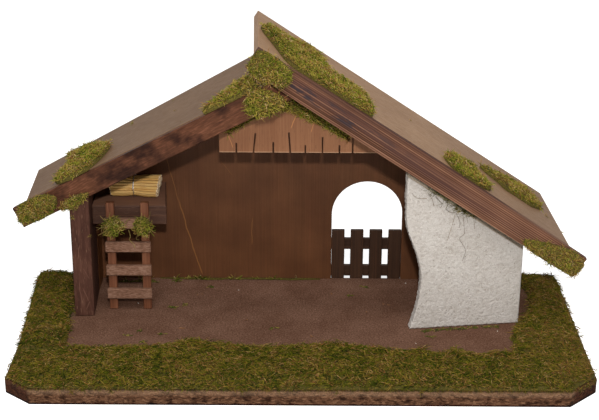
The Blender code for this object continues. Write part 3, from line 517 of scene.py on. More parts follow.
mossSprigs = {
    # fronds to a sprig, their length and half width, how far they lie over and how they curl
    "border": {"fronds": 6, "length": 7.5 * mm, "width": 0.42 * mm, "lean": (0.8, 1.4), "curl": 0.7,
               "bend": (0.1, 0.6), "spacing": 2.5 * mm},
    "pad": {"fronds": 6, "length": 6.5 * mm, "width": 0.4 * mm, "lean": (0.75, 1.4), "curl": 0.6,
            "bend": (-0.1, 0.5), "spacing": 2.3 * mm},
    "tuft": {"fronds": 6, "length": 7.5 * mm, "width": 0.42 * mm, "lean": (0.4, 1.3), "curl": 0.7,
             "bend": (0.0, 0.8), "spacing": 2.2 * mm},
    "foot": {"fronds": 5, "length": 6 * mm, "width": 0.42 * mm, "lean": (0.3, 1.3), "curl": 0.7,
             "bend": (0.0, 0.5), "spacing": 3.2 * mm},
    "wisp": {"fronds": 6, "length": 10 * mm, "width": 0.22 * mm, "lean": (0.8, 1.5), "curl": 1.2,
             "bend": (-0.1, 0.5), "spacing": 1.7 * mm},
    # one sprig in so many kinds is a stray: a few longer stems that arch over the rest
    "kinds": 6, "stray": {"fronds": 2, "length": 1.7, "width": 0.9, "lean": (0.5, 1.2)},
    # bends along each frond, and the most sprigs to a square metre
    "steps": 3, "density": 450000,
}

mossTones = {
    # from the deepest green by olive and straw to the few brown and orange stems
    "border": [(0.0, "1e2903"), (0.2, "3b4607"), (0.42, "5d5f10"), (0.6, "7c6f22"), (0.74, "907636"),
               (0.84, "63421f"), (0.9, "ad945e"), (0.95, "915a30"), (1.0, "76602e")],
    "pad": [(0.0, "38450e"), (0.18, "66741a"), (0.4, "929231"), (0.6, "b7a34e"), (0.76, "a58044"),
            (0.84, "704826"), (0.9, "d6c08a"), (0.95, "a0642f"), (1.0, "9c8446")],
    "tuft": [(0.0, "3f4c10"), (0.3, "68761e"), (0.55, "928f36"), (0.75, "b5a052"), (0.9, "8f6c38"),
             (1.0, "cdb983")],
    "foot": [(0.0, "3a480c"), (0.25, "64741a"), (0.5, "8a8e32"), (0.72, "b0a45a"), (0.88, "7a5a2c"),
             (1.0, "cbb987")],
    "wisp": [(0.0, "2c3310"), (0.3, "4d521e"), (0.6, "6f6c32"), (0.85, "90884e"), (1.0, "ab9f6e")],
}

# the width of the greener and browner patches, how strongly they and the single fronds differ in tone,
# and how much drier the moss is at the right end, whose place on X is end
mossPatches = {"patchMm": 26, "contrast": 1.3, "shift": -0.53, "spread": 0.85, "dry": 0.14, "end": 300 * mm}


def mossMaterial(name, tones):
    # Dried feather moss: matt fibres, each of its own tone, green in some places and browner in others
    material = newMaterial(name)
    look = mossPatches
    patch = node(material, "ShaderNodeTexNoise",
                 {"Vector": placed(material), "Scale": 1000 / look["patchMm"], "Detail": 4.0,
                  "Roughness": 0.72})
    own = node(material, "ShaderNodeMath",
               node(material, "ShaderNodeAttribute", attribute_name="tone").outputs["Fac"],
               node(material, "ShaderNodeAttribute", attribute_name="frond").outputs["Fac"],
               operation="ADD")
    spread = node(material, "ShaderNodeMath", node(material, "ShaderNodeMath", own, operation="FRACT"),
                  look["spread"], operation="MULTIPLY")
    green = node(material, "ShaderNodeMath", patch, look["contrast"], look["shift"],
                 operation="MULTIPLY_ADD")
    # drier and browner on the stable's right
    out = node(material, "ShaderNodeMath", axisOf(material, "X"), look["end"], operation="DIVIDE")
    dry = node(material, "ShaderNodeValToRGB", out, stops=[(0.7, 0.0), (0.92, look["dry"])])
    tone = node(material, "ShaderNodeMath", spread,
                node(material, "ShaderNodeMath", green, dry, operation="ADD"), operation="ADD",
                use_clamp=True)
    colour = node(material, "ShaderNodeValToRGB", tone, stops=tones)
    # painted shade: darker at the root, where the fronds shade one another
    colour = toned(material, colour,
                   node(material, "ShaderNodeAttribute", attribute_name="tip").outputs["Fac"],
                   [(0.0, "6a6354"), (0.45, "d5d0c4"), (1.0, "ffffff")])
    return surface(material, colour, 0.85, gloss=0.1)


def mossBed(name, colours):
    # the felt of old stems under the green: dark and brown
    material = newMaterial(name)
    felt = node(material, "ShaderNodeTexNoise",
                {"Vector": placed(material), "Scale": 700, "Detail": 4.0, "Roughness": 0.7})
    return surface(material, node(material, "ShaderNodeValToRGB", felt, stops=colours), 0.95, felt, 0.8,
                   1.0 * mm)


def sprigMesh(name, seed, look):
    # one sprig: bent fronds from one root, each a thin closed three-sided spike with a tone of its own
    draw = random.Random(seed)
    shape = bmesh.new()
    tipLayer = shape.verts.layers.float.new("tip")
    frondLayer = shape.verts.layers.float.new("frond")
    steps = mossSprigs["steps"]
    for number in range(look["fronds"]):
        heading = 2 * math.pi * (number + draw.random()) / look["fronds"]
        angle = draw.uniform(*look["lean"])
        reach = look["length"] * draw.uniform(0.45, 1.25)
        bend = draw.uniform(*look["bend"])
        curl = draw.uniform(-look["curl"], look["curl"])
        frondTone = draw.random() * 0.55
        out = Vector((math.cos(heading), math.sin(heading), 0))
        sideways = Vector((-out.y, out.x, 0))
        spot = out * look["width"]
        rings = []
        for step in range(steps):
            direction = out * math.sin(angle) + Vector((0, 0, math.cos(angle)))
            across = direction.cross(sideways)
            ring = []
            for corner in range(3):
                turn = 2 * math.pi * corner / 3
                thick = look["width"] * (1 - 0.5 * step / steps)
                vertex = shape.verts.new(spot + (sideways * math.cos(turn) + across * math.sin(turn)) * thick)
                vertex[tipLayer] = step / steps
                ring.append(vertex)
            rings.append(ring)
            spot = spot + direction * (reach / steps) + sideways * curl * step * reach / steps
            angle += bend
        end = shape.verts.new(spot)
        end[tipLayer] = 1.0
        for low, high in zip(rings, rings[1:]):
            for corner in range(3):
                after = (corner + 1) % 3
                shape.faces.new((low[corner], low[after], high[after], high[corner]))
        for corner in range(3):
            shape.faces.new((rings[-1][corner], rings[-1][(corner + 1) % 3], end))
        shape.faces.new(rings[0][::-1])
        for vertex in [corner for ring in rings for corner in ring] + [end]:
            vertex[frondLayer] = frondTone
    bmesh.ops.recalc_face_normals(shape, faces=shape.faces)
    return asMesh(shape, name)


def geoTree(name, inputs):
    tree = bpy.data.node_groups.new(name, "GeometryNodeTree")
    tree.interface.new_socket(name="Geometry", in_out="INPUT", socket_type="NodeSocketGeometry")
    for label, kind in inputs:
        tree.interface.new_socket(name=label, in_out="INPUT", socket_type=kind)
    tree.interface.new_socket(name="Geometry", in_out="OUTPUT", socket_type="NodeSocketGeometry")
    return tree, tree.nodes.new("NodeGroupInput"), tree.nodes.new("NodeGroupOutput")


def applyTree(piece, tree, values):
    # sets the named inputs, reads the result as a plain mesh and takes the modifier off
    modifier = piece.modifiers.new(tree.name, "NODES")
    modifier.node_group = tree
    for item in tree.interface.items_tree:
        if item.in_out == "INPUT" and item.name in values:
            modifier[item.identifier] = values[item.name]
    depsgraph = bpy.context.evaluated_depsgraph_get()
    mesh = bpy.data.meshes.new_from_object(piece.evaluated_get(depsgraph),
                                           preserve_all_data_layers=True, depsgraph=depsgraph)
    piece.modifiers.clear()
    piece.data = mesh
    return piece


def scatterTree(name, sprigs, material):
    # sprigs at spaced points on the faces that look the way of Facing, over the pad itself
    tree, start, end = geoTree(name, [("Spacing", "NodeSocketFloat"), ("Density", "NodeSocketFloat"),
                                      ("Size", "NodeSocketFloat"), ("Facing", "NodeSocketVector"),
                                      ("Seed", "NodeSocketInt")])
    given = start.outputs
    normal = node(tree, "GeometryNodeInputNormal")
    toward = node(tree, "ShaderNodeVectorMath", normal.outputs[0], given["Facing"], operation="DOT_PRODUCT")
    chosen = node(tree, "FunctionNodeCompare", toward.outputs["Value"], 0.1, data_type="FLOAT",
                  operation="GREATER_THAN")
    points = node(tree, "GeometryNodeDistributePointsOnFaces",
                  {"Mesh": given["Geometry"], "Selection": chosen.outputs[0],
                   "Distance Min": given["Spacing"], "Density Max": given["Density"],
                   "Seed": given["Seed"]}, distribute_method="POISSON")
    choices = node(tree, "GeometryNodeJoinGeometry")
    for sprig in sprigs:
        info = node(tree, "GeometryNodeObjectInfo", {"As Instance": True, "Object": sprig})
        tree.links.new(info.outputs["Geometry"], choices.inputs[0])
    spin = node(tree, "FunctionNodeRandomValue", {3: 2 * math.pi, "Seed": given["Seed"]}, data_type="FLOAT")
    about = node(tree, "FunctionNodeAxisAngleToRotation", {"Axis": (0, 0, 1), "Angle": spin.outputs[1]})
    turned = node(tree, "FunctionNodeRotateRotation",
                  {"Rotation": points.outputs["Rotation"], "Rotate By": about.outputs[0]},
                  rotation_space="LOCAL")
    growth = node(tree, "FunctionNodeRandomValue", {2: 0.6, 3: 1.3, "Seed": 7}, data_type="FLOAT")
    # smaller on the pad's sides
    level = node(tree, "ShaderNodeVectorMath", points.outputs["Normal"], given["Facing"],
                 operation="DOT_PRODUCT")
    share = node(tree, "ShaderNodeMapRange",
                 {"From Min": 0.1, "From Max": 0.85, "To Min": 0.4, "To Max": 1.0,
                  "Value": level.outputs["Value"]})
    full = node(tree, "ShaderNodeMath", growth.outputs[1], given["Size"], operation="MULTIPLY")
    size = node(tree, "ShaderNodeMath", full.outputs[0], share.outputs[0], operation="MULTIPLY")
    grown = node(tree, "GeometryNodeInstanceOnPoints",
                 {"Pick Instance": True, "Points": points.outputs["Points"], "Instance": choices.outputs[0],
                  "Rotation": turned.outputs[0], "Scale": size.outputs[0]})
    tone = node(tree, "FunctionNodeRandomValue", {"Seed": 21}, data_type="FLOAT")
    marked = node(tree, "GeometryNodeStoreNamedAttribute",
                  {"Name": "tone", "Geometry": grown.outputs[0], "Value": tone.outputs[1]},
                  data_type="FLOAT", domain="INSTANCE")
    real = node(tree, "GeometryNodeRealizeInstances", {"Geometry": marked.outputs[0]})
    painted = node(tree, "GeometryNodeSetMaterial", {"Material": material, "Geometry": real.outputs[0]})
    whole = node(tree, "GeometryNodeJoinGeometry", given["Geometry"])
    tree.links.new(painted.outputs[0], whole.inputs[0])
    tree.links.new(whole.outputs[0], end.inputs[0])
    return tree


squeezed = {
    # how narrow a pad becomes, the way its upper edge runs, and how flat it becomes
    "moss_post": (0.6, "left", 1.0), "moss_eave_left": (0.9, "left", 1.0),
    "moss_plaster": (0.5, "right", 0.15),
}

borderRim = {
    # the base's outer edges, how much its front corners are cut, how far in from the edges the rim
    # reaches, its height as a share, and how far and from where on the sides are drawn in
    "half": 300 * mm, "front": -136 * mm, "cut": 27 * mm,
    "reach": 2.2 * mm, "height": 0.35, "drawn": 2 * mm, "drawnFrom": 30 * mm,
    # the left back corner: where the swelling begins on X and Y, how soon it is full and how big it is
    "x": 270 * mm, "y": 60 * mm, "fullX": 20 * mm, "fullY": 170 * mm, "out": 9 * mm, "up": 2.5 * mm,
}

# the width of the coarse and the fine lumps, their rise in millimetres, and the ragged wall foot
padLook = {"coarse": 9 * mm, "fine": 4 * mm, "riseMm": 1.1, "rag": 8 * mm, "footHeight": 0.4}


def settleBorder(shape):
    # a low rim all round the base, drawn in a little, that swells out over the left back corner
    rim, floor = borderRim, stable["floor"]
    for vertex in shape.verts:
        x, y = abs(vertex.co.x), vertex.co.y
        corner = (rim["half"] - x + y - rim["front"] - rim["cut"]) / math.sqrt(2)
        if min(rim["half"] - x, y - rim["front"], corner) < rim["reach"]:
            vertex.co.z = floor + (vertex.co.z - floor) * rim["height"]
            if y > rim["front"] + rim["drawnFrom"]:
                vertex.co.x -= math.copysign(rim["drawn"], vertex.co.x)
        if vertex.co.x < -rim["x"] and y > -rim["y"]:
            share = (min(1.0, (y + rim["y"]) / rim["fullY"])
                     * min(1.0, (-vertex.co.x - rim["x"]) / rim["fullX"]))
            vertex.co.x -= rim["out"] * share
            if vertex.co.z > floor + mm:
                vertex.co.z += rim["up"] * share


def padBody(source, name, bed, facing, span=None):
    # a copy of the CAD pad with a finer, lumpier top; span keeps only the part between two places on X
    shape = bmesh.new()
    shape.from_mesh(nodes[source].data)
    bmesh.ops.remove_doubles(shape, verts=shape.verts, dist=0.001 * mm)
    for end, side in zip(span or (), (-1, 1)):
        everything = shape.verts[:] + shape.edges[:] + shape.faces[:]
        cut = bmesh.ops.bisect_plane(shape, geom=everything, plane_co=(end, 0, 0), plane_no=(side, 0, 0),
                                     clear_outer=True)["geom_cut"]
        bmesh.ops.holes_fill(shape, edges=[item for item in cut if isinstance(item, bmesh.types.BMEdge)])
    bmesh.ops.triangulate(shape, faces=shape.faces)
    shape.normal_update()
    raised = [vertex for vertex in shape.verts if vertex.normal.dot(facing) > 0.2]
    for vertex in raised:
        lump = noise.noise(vertex.co / padLook["coarse"]) + 0.5 * noise.noise(vertex.co / padLook["fine"])
        vertex.co += facing * lump * padLook["riseMm"] * mm
    if source == "moss_wall_foot":
        # low, with a ragged front edge
        back = max(vertex.co.y for vertex in shape.verts)
        for vertex in shape.verts:
            share = 0.4 + 0.9 * noise.noise(Vector((vertex.co.x / padLook["rag"], 0, 0)))
            vertex.co.y = back - (back - vertex.co.y) * max(0.12, min(share, 1.0))
            vertex.co.z = stable["floor"] + (vertex.co.z - stable["floor"]) * padLook["footHeight"]
    if source in squeezed:
        width, way, flat = squeezed[source]
        rise = math.tan(stable["leftBoardSlope"]) if way == "left" else -math.tan(stable["rightSlope"])
        top = max(vertex.co.z - rise * vertex.co.x for vertex in shape.verts)
        back = min(vertex.co.dot(facing) for vertex in shape.verts)
        for vertex in shape.verts:
            below = top - (vertex.co.z - rise * vertex.co.x)
            vertex.co.z += below * (1 - width)
            vertex.co -= facing * (vertex.co.dot(facing) - back) * (1 - flat)
    if source.startswith("moss_border"):
        settleBorder(shape)
    return asObject(name, asMesh(shape, name), bed)


looseTufts = {
    # where they lie in millimetres, the way they face and their size: bits that hang over the base's
    # edge and stand at its back, moss behind the ladder, bits between the peak's pads, on the roof, at
    # the two eaves and the plaster's joint, and fluff on the plaster
    "border": [((-228, -136.2, 15), (0, -1, 0.3), 0.6), ((-217, -136.2, 16), (0, -1, 0.3), 0.5),
               ((-188, -136.2, 16), (0, -1, 0.3), 0.5), ((-60, -136.2, 16), (0, -1, 0.3), 0.5),
               ((35, -136.2, 15), (0, -1, 0.3), 0.5), ((118, -136.2, 16), (0, -1, 0.3), 0.6),
               ((-280, 133, 22), (0, 1, 0.8), 1.0), ((255, 132, 23), (0, 1, 1), 1.2),
               ((268, 132, 23), (0, 1, 1), 1.1), ((281, 131, 23), (0.3, 1, 1), 1.2),
               ((246, 130, 22), (0, 1, 1), 0.9), ((291, 130, 23), (0.6, 1, 1), 1.2),
               ((296, 118, 22), (1, 0.3, 1), 1.0), ((297, 98, 21), (1, 0, 1), 0.8),
               ((297, 60, 21), (1, 0, 1), 0.7),
               ((277, -132, 17), (1, -1, 0.5), 0.6), ((283, -126, 17), (1, -1, 0.4), 0.55),
               ((289, -120, 16), (1, -1, 0.5), 0.6), ((295, -114, 17), (1, -1, 0.4), 0.5)]
    # small bits all along the front edge and the two cut corners
    + [((x, -136.2, 18.2), (0, -1, 0.8), 0.42) for x in range(-270, 272, 5)]
    + [((way * (274 + step), step - 135.4, 18.2), (way, -1, 0.8), 0.42)
       for way in (-1, 1) for step in range(0, 27, 4)],
    "foot": [((-205, 121, 19), (0, -1, 1), 0.8), ((-186, 122, 19), (0, -1, 1), 0.9),
             ((-172, 121, 19), (0, -1, 1), 0.9), ((-146, 118, 20), (0, -1, 1.5), 1.2)],
    "pad": [((-41, -4, 294.5), (0, -0.6, 1), 0.7), ((-38, -13.5, 296), (0, -1, 0.6), 0.6),
            ((-45, -7, 292), (0, -0.6, 1), 0.7), ((-47, 0, 291.5), (0, -0.6, 1), 0.7),
            ((-189.5, 116, 212), (0, -0.5, 1), 0.5), ((264, 47, 132), (0.4, -0.5, 1), 0.6),
            ((-228, 22, 116), (0, -1, 0.2), 0.35), ((-247, 21, 138), (0, -1, 0.2), 0.6),
            ((270, 46, 122), (0.3, -0.5, -1), 0.7), ((277, 48, 117), (0.3, -0.5, -1), 0.7),
            ((284, 49, 113), (0.3, -0.5, -1), 0.7), ((161, 3.4, 158), (0.2, -1, -1), 0.4),
            ((166, 4.0, 155), (0.2, -1, -1), 0.5), ((171, 4.7, 152), (0.2, -1, -1), 0.5),
            ((176, 5.4, 149), (0.2, -1, -1), 0.45),
            ((-144, 122, 237), (-0.4, -0.3, 1), 0.3), ((-138, 75, 240.2), (-0.4, -0.3, 1), 0.3),
            ((-125, 15, 247.7), (-0.4, -0.3, 1), 0.2), ((-66, 99, 280.5), (-0.4, -0.3, 1), 0.25),
            ((75.5, 70, 255), (0.5, -0.3, 1), 0.3), ((115.4, 83, 228.8), (0.5, -0.3, 1), 0.35)],
    "wisp": [((152, 3.4, 165), (0.1, -1, -0.5), 0.5), ((158, 3.9, 161), (0.1, -1, -0.5), 0.6),
             ((164, 4.6, 157), (0.1, -1, -0.5), 0.7), ((169, 5.2, 154), (0.1, -1, -0.5), 0.7),
             ((174, 6.0, 151), (0.1, -1, -0.5), 0.6), ((179, 6.6, 148), (0.1, -1, -0.5), 0.5),
             ((161, 4.2, 158), (0.1, -1, -0.8), 0.5), ((167, 5.0, 155), (0.1, -1, -0.8), 0.5)],
}


def layTufts(spots, kind, material, look):
    # two sprigs at each spot
    draw = random.Random(77)
    shape = bmesh.new()
    for layer in ("tone", "tip", "frond"):
        shape.verts.layers.float.new(layer)
    for spot, facing, size in spots:
        turn = Vector(facing).to_track_quat("Z", "Y").to_matrix().to_4x4()
        for _ in range(2):
            before = len(shape.verts)
            mesh = sprigMesh("loose sprig", draw.randrange(1000), look)
            shape.from_mesh(mesh)
            bpy.data.meshes.remove(mesh)
            shape.verts.ensure_lookup_table()
            tone = shape.verts.layers.float["tone"]
            own, fresh = draw.random(), shape.verts[before:]
            for vertex in fresh:
                vertex[tone] = own
            spread = Vector((draw.uniform(-2, 2), draw.uniform(-0.5, 0.5), draw.uniform(-0.5, 0.5)))
            move = Matrix.Translation((Vector(spot) + spread) * mm)
            bmesh.ops.transform(shape, matrix=move @ turn @ Matrix.Scale(size, 4), verts=fresh)
    piece = asObject("loose_tufts_" + kind, asMesh(shape, "loose_tufts_" + kind), material)
    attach(piece, "root")


def growMoss():
    upRight = Vector((math.sin(stable["rightSlope"]), 0, math.cos(stable["rightSlope"])))
    upLeft = Vector((-math.sin(stable["leftSlope"]), 0, math.cos(stable["leftSlope"])))
    up, ahead = Vector((0, 0, 1)), Vector((0, -1, 0))
    aheadLeft = Matrix.Rotation(-stable["leftBoardTurn"], 3, "Z") @ ahead
    aheadWall = Matrix.Rotation(stable["plasterTurn"], 3, "Z") @ ahead
    # the kind of moss on each pad, the way it faces and the size of its sprigs
    pads = {
        "moss_border_front": ("border", up, 1.0), "moss_border_left": ("border", up, 1.0),
        "moss_border_right": ("border", up, 1.0), "moss_wall_foot": ("foot", up, 1.0),
        "moss_roof_ridge": ("pad", upRight, 1.0), "moss_roof_middle": ("pad", upRight, 0.95),
        "moss_roof_lower": ("pad", upRight, 0.95), "moss_roof_left": ("pad", upLeft, 0.95),
        "moss_ridge_left": ("pad", upLeft, 1.0), "moss_peak": ("pad", ahead, 0.9),
        "moss_eave_right": ("pad", ahead, 0.85), "moss_eave_left": ("pad", aheadLeft, 0.8),
        "moss_post": ("pad", aheadLeft, 0.75), "moss_joint": ("pad", aheadLeft, 0.95),
        "moss_gable": ("pad", ahead, 0.9), "moss_plaster": ("wisp", aheadWall, 1.0),
        "moss_ladder_left": ("tuft", ahead, 0.9), "moss_ladder_right": ("tuft", ahead, 0.9),
    }
    beds = {"border": mossBed("border moss felt", [(0.3, "2c260e"), (0.55, "4c441a"), (0.75, "6a5c2c")]),
            "pad": mossBed("pad moss felt", [(0.3, "332c10"), (0.55, "554b1e"), (0.75, "72662e")])}
    beds["tuft"] = beds["foot"] = beds["pad"]
    beds["wisp"] = mossBed("fluff on plaster", [(0.3, "6b6450"), (0.55, "8d8570"), (0.75, "a89f8b")])
    trees, sources = {}, []
    for kind in mossTones:
        look, stray = mossSprigs[kind], mossSprigs["stray"]
        longer = {**look, "fronds": stray["fronds"], "length": look["length"] * stray["length"],
                  "width": look["width"] * stray["width"], "lean": stray["lean"]}
        looks = [look] * (mossSprigs["kinds"] - 1) + [longer]
        sprigs = [asObject(f"sprig{kind}{number}", sprigMesh(f"sprig{kind}{number}", 40 + number, each))
                  for number, each in enumerate(looks)]
        fibres = mossMaterial("dried " + kind + " moss", mossTones[kind])
        trees[kind] = scatterTree("scatter " + kind + " moss", sprigs, fibres)
        sources += sprigs
        if kind in looseTufts:
            layTufts(looseTufts[kind], kind, fibres, look)
    total = 0
    for number, (source, (kind, facing, size)) in enumerate(pads.items()):
        low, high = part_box(source)
        middle = (low.x + high.x) / 2
        spans = [None]
        if source == "moss_border_front":
            spans = [(low.x - mm, middle), (middle, high.x + mm)]
        elif source == "moss_eave_left":
            spans = [(low.x + 5 * mm, high.x + mm)]
        for part, span in enumerate(spans):
            name = source.replace("moss_", "grown_moss_") + ("_ab"[part + 1] if len(spans) > 1 else "")
            piece = padBody(source, name, beds[kind], facing, span)
            applyTree(piece, trees[kind], {
                "Spacing": mossSprigs[kind]["spacing"], "Density": mossSprigs["density"],
                "Size": size, "Facing": tuple(facing), "Seed": 100 + number * 3 + part})
            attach(piece, "root")
            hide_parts(source)
            total += len(piece.data.polygons)
    for sprig in sources:
        bpy.data.objects.remove(sprig)
    print("moss grown:", total, "faces")


def threadTree(name, sides, material, taper):
    # lines made round: Radius is that of the thickest place, and with taper both ends run out thin
    tree, start, end = geoTree(name, [("Radius", "NodeSocketFloat")])
    lines = node(tree, "GeometryNodeMeshToCurve", {"Mesh": start.outputs["Geometry"]})
    profile = node(tree, "GeometryNodeCurvePrimitiveCircle",
                   {"Resolution": sides, "Radius": start.outputs["Radius"]})
    tube = node(tree, "GeometryNodeCurveToMesh", {"Fill Caps": True, "Profile Curve": profile.outputs[0]})
    if taper:
        part = node(tree, "GeometryNodeSplineParameter")
        bulge = node(tree, "ShaderNodeMath", part.outputs["Factor"], 0.5, operation="PINGPONG")
        width = node(tree, "ShaderNodeMapRange",
                     {"From Max": 0.5, "To Min": 0.35, "To Max": 1.0, "Value": bulge.outputs[0]})
        shaped = node(tree, "GeometryNodeSetCurveRadius",
                      {"Curve": lines.outputs[0], "Radius": width.outputs[0]})
        tree.links.new(shaped.outputs[0], tube.inputs["Curve"])
    else:
        tree.links.new(lines.outputs[0], tube.inputs["Curve"])
    real = node(tree, "GeometryNodeRealizeInstances", {"Geometry": tube.outputs[0]})
    painted = node(tree, "GeometryNodeSetMaterial", {"Material": material, "Geometry": real.outputs[0]})
    tree.links.new(painted.outputs[0], end.inputs[0])
    return tree


def lineMesh(name, lines, draw):
    # polylines with a tone for each and the share of the way along it at each point
    shape = bmesh.new()
    toneLayer = shape.verts.layers.float.new("tone")
    alongLayer = shape.verts.layers.float.new("along")
    for points in lines:
        tone = draw.random()
        row = []
        for number, point in enumerate(points):
            vertex = shape.verts.new(point)
            vertex[toneLayer] = tone
            vertex[alongLayer] = number / (len(points) - 1)
            row.append(vertex)
        for first, second in zip(row, row[1:]):
            shape.edges.new((first, second))
    return asMesh(shape, name)


strawLook = {
    "radius": 1.8 * mm, "sides": 10, "points": 11, "waist": 1.7 * mm, "ends": 2.2 * mm, "bow": 0.35 * mm,
    "turn": math.radians(5),
    "skins": ["a97f45", "bd9655", "cfae70", "b48a49", "d8bb84"],
}


def strawMaterial():
    # Wheat straw: a smooth golden skin with fine ribs along it, fibrous and pale where it is cut
    material = newMaterial("cut wheat straw")
    ribs = node(material, "ShaderNodeTexNoise",
                {"Vector": placed(material, (40, 1500, 1500), (0, 0, strawLook["turn"])), "Scale": 1.0,
                 "Detail": 3.0, "Roughness": 0.6})
    skins = strawLook["skins"]
    tone = node(material, "ShaderNodeAttribute", attribute_name="tone").outputs["Fac"]
    colour = node(material, "ShaderNodeValToRGB", tone,
                  stops=[(number / (len(skins) - 1), skin) for number, skin in enumerate(skins)])
    colour = toned(material, colour, ribs, [(0.35, "c59a68"), (0.6, "ffffff")], 0.55)
    along = node(material, "ShaderNodeAttribute", attribute_name="along").outputs["Fac"]
    middle = node(material, "ShaderNodeMath", along, 0.5, operation="SUBTRACT")
    middle = node(material, "ShaderNodeMath", middle, operation="ABSOLUTE")
    fibre = node(material, "ShaderNodeTexNoise",
                 {"Vector": placed(material), "Scale": 900, "Detail": 2.0, "Roughness": 0.55})
    fibre = node(material, "ShaderNodeValToRGB", fibre, stops=[(0.4, "b08c63"), (0.6, "f0e0c2")])
    cut = node(material, "ShaderNodeValToRGB", middle, stops=[(0.478, 0.0), (0.498, 1.0)])
    colour = node(material, "ShaderNodeMix", {0: cut, 6: colour, 7: fibre}, data_type="RGBA").outputs[2]
    rough = node(material, "ShaderNodeValToRGB", middle, stops=[(0.478, 0.38), (0.498, 0.9)])
    return surface(material, colour, rough, ribs, 0.2, 0.2 * mm)


def bindStraw():
    # straws side by side in rings about one in the middle, drawn in where the wire binds them
    look = strawLook
    draw = random.Random(12)
    low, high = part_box("straw_bundle")
    length = high.x - low.x
    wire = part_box("bundle_wire")
    middle = (wire[0] + wire[1]) / 2
    turn = Matrix.Rotation(-look["turn"], 3, "Z")
    outer = (high.z - low.z) / 2 - look["radius"]
    lines = []
    rings = round(outer / (2 * look["radius"]))
    for ring in range(rings + 1):
        reach = outer * ring / rings
        count = max(1, round(1.06 * math.pi * reach / look["radius"]))
        for number in range(count):
            angle = 2 * math.pi * (number + 0.5 * (ring % 2) + draw.uniform(-0.08, 0.08)) / count
            away = Vector((0, math.cos(angle), math.sin(angle)))
            bow = Vector((0, draw.uniform(-1, 1), draw.uniform(-1, 1))) * look["bow"]
            ends = [-1 + draw.uniform(0, 0.06), 1 - draw.uniform(0, 0.06)]
            points = []
            for step in range(look["points"]):
                share = ends[0] + (ends[1] - ends[0]) * step / (look["points"] - 1)
                pinch = look["waist"] * (reach / outer) * math.exp(-(share * 3.2) ** 2)
                far = share * (length / 2 - look["ends"])
                slant = look["ends"] * math.sin(angle) * share * reach / outer
                spot = Vector((far + slant, 0, 0)) + away * (reach - pinch) + bow * (1 - share * share)
                points.append(middle + turn @ spot)
            lines.append(points)
    bundle = asObject("bound_straws", lineMesh("bound_straws", lines, draw))
    applyTree(bundle, threadTree("round straws", look["sides"], strawMaterial(), False),
              {"Radius": look["radius"]})
    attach(bundle, "root")
    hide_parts("straw_bundle")
    print("straws bound:", len(lines))


threads = {
    # placed one by one, in millimetres: a twig from the ladder's moss, stalks that stick out of it,
    # and dark root hairs that hang over the plastered wall
    "stalks": {"radius": 0.3 * mm, "colour": [(0.0, "6f6430"), (0.5, "948048"), (1.0, "5a4a26")], "lines": [
        [(-187, 31, 120), (-185, 29, 113), (-186.5, 30, 109), (-182, 31, 103), (-181, 31, 98.5)],
        [(-205, 31, 128), (-207, 30, 134), (-206, 31, 140)],
        [(-208, 31, 127), (-213, 30, 132), (-217, 31, 136)],
        [(-210, 31, 124), (-217, 30, 122), (-222, 31, 123)],
        [(-210, 31, 119), (-216, 30, 116), (-220, 32, 113)],
        [(-201, 31, 128), (-201, 30, 133), (-203, 31, 138)],
        [(-190, 31, 128), (-187, 30, 132), (-185, 31, 133)],
        [(-174, 31, 128), (-173, 30, 134), (-172, 31, 140)],
        [(-168, 31, 128), (-164, 30, 135), (-163, 31, 141)],
        [(-163, 31, 120), (-160, 30, 118), (-158, 31, 117)],
        [(-177, 31, 114), (-179, 30, 110), (-176, 31, 108)]]},
    "hairs": {"radius": 0.17 * mm, "colour": [(0.0, "3e3020"), (0.5, "7d6a48"), (1.0, "32271c")], "lines": [
        [(168.9, 5.5, 151.9), (171.1, 5.8, 137), (171.9, 5.9, 127.8), (167.1, 5.3, 122.3),
         (174.1, 6.3, 109.2), (171, 5.8, 96.6)],
        [(114.1, -2.3, 177.1), (119.6, -1.5, 171.3), (130.2, 0, 170.2)],
        [(131, 0.1, 176.3), (135.5, 0.8, 169.4), (138, 1.1, 161.4)],
        [(160.8, 4.4, 150.1), (158.2, 4, 137.7), (153.6, 3.3, 120.7)],
        [(181.5, 7.3, 143.3), (182.6, 7.5, 133)],
        [(153.8, 3.4, 162.9), (150.9, 3, 157.4), (157.5, 3.9, 152.5), (163.8, 4.8, 154.4)],
        [(139.7, 1.4, 171.4), (146.4, 2.3, 163.2), (144.4, 2, 158.8)],
        [(172.6, 6, 149.5), (175.2, 6.4, 140.2)],
        [(161.8, 4.5, 152.3), (166.6, 5.2, 141.8), (165.8, 5.1, 135)]]},
}


def smoothLine(points, steps=4):
    # a curve through the points
    ends = [points[0], *points, points[-1]]
    smooth = []
    for before, first, second, after in zip(ends, ends[1:], ends[2:], ends[3:]):
        for step in range(steps):
            share = step / steps
            smooth.append(0.5 * (2 * first + (second - before) * share
                                 + (2 * before - 5 * first + 4 * second - after) * share * share
                                 + (3 * first - before - 3 * second + after) * share ** 3))
    smooth.append(points[-1])
    return smooth


def layThreads():
    draw = random.Random(5)
    for name, look in threads.items():
        material = newMaterial("dried plant " + name)
        speck = node(material, "ShaderNodeTexNoise",
                     {"Vector": placed(material), "Scale": 900, "Detail": 2.0, "Roughness": 0.55})
        tone = node(material, "ShaderNodeAttribute", attribute_name="tone").outputs["Fac"]
        colour = node(material, "ShaderNodeValToRGB", tone, stops=look["colour"])
        colour = toned(material, colour, speck, [(0.35, "b0a48c"), (0.6, "ffffff")], 0.7)
        surface(material, colour, 0.8, speck, 0.2, 0.2 * mm)
        lines = [smoothLine([Vector(point) * mm for point in points]) for points in look["lines"]]
        piece = asObject("loose_" + name, lineMesh("loose_" + name, lines, draw))
        applyTree(piece, threadTree("round " + name, 5, material, True), {"Radius": look["radius"]})
        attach(piece, "root")
    print("threads laid")


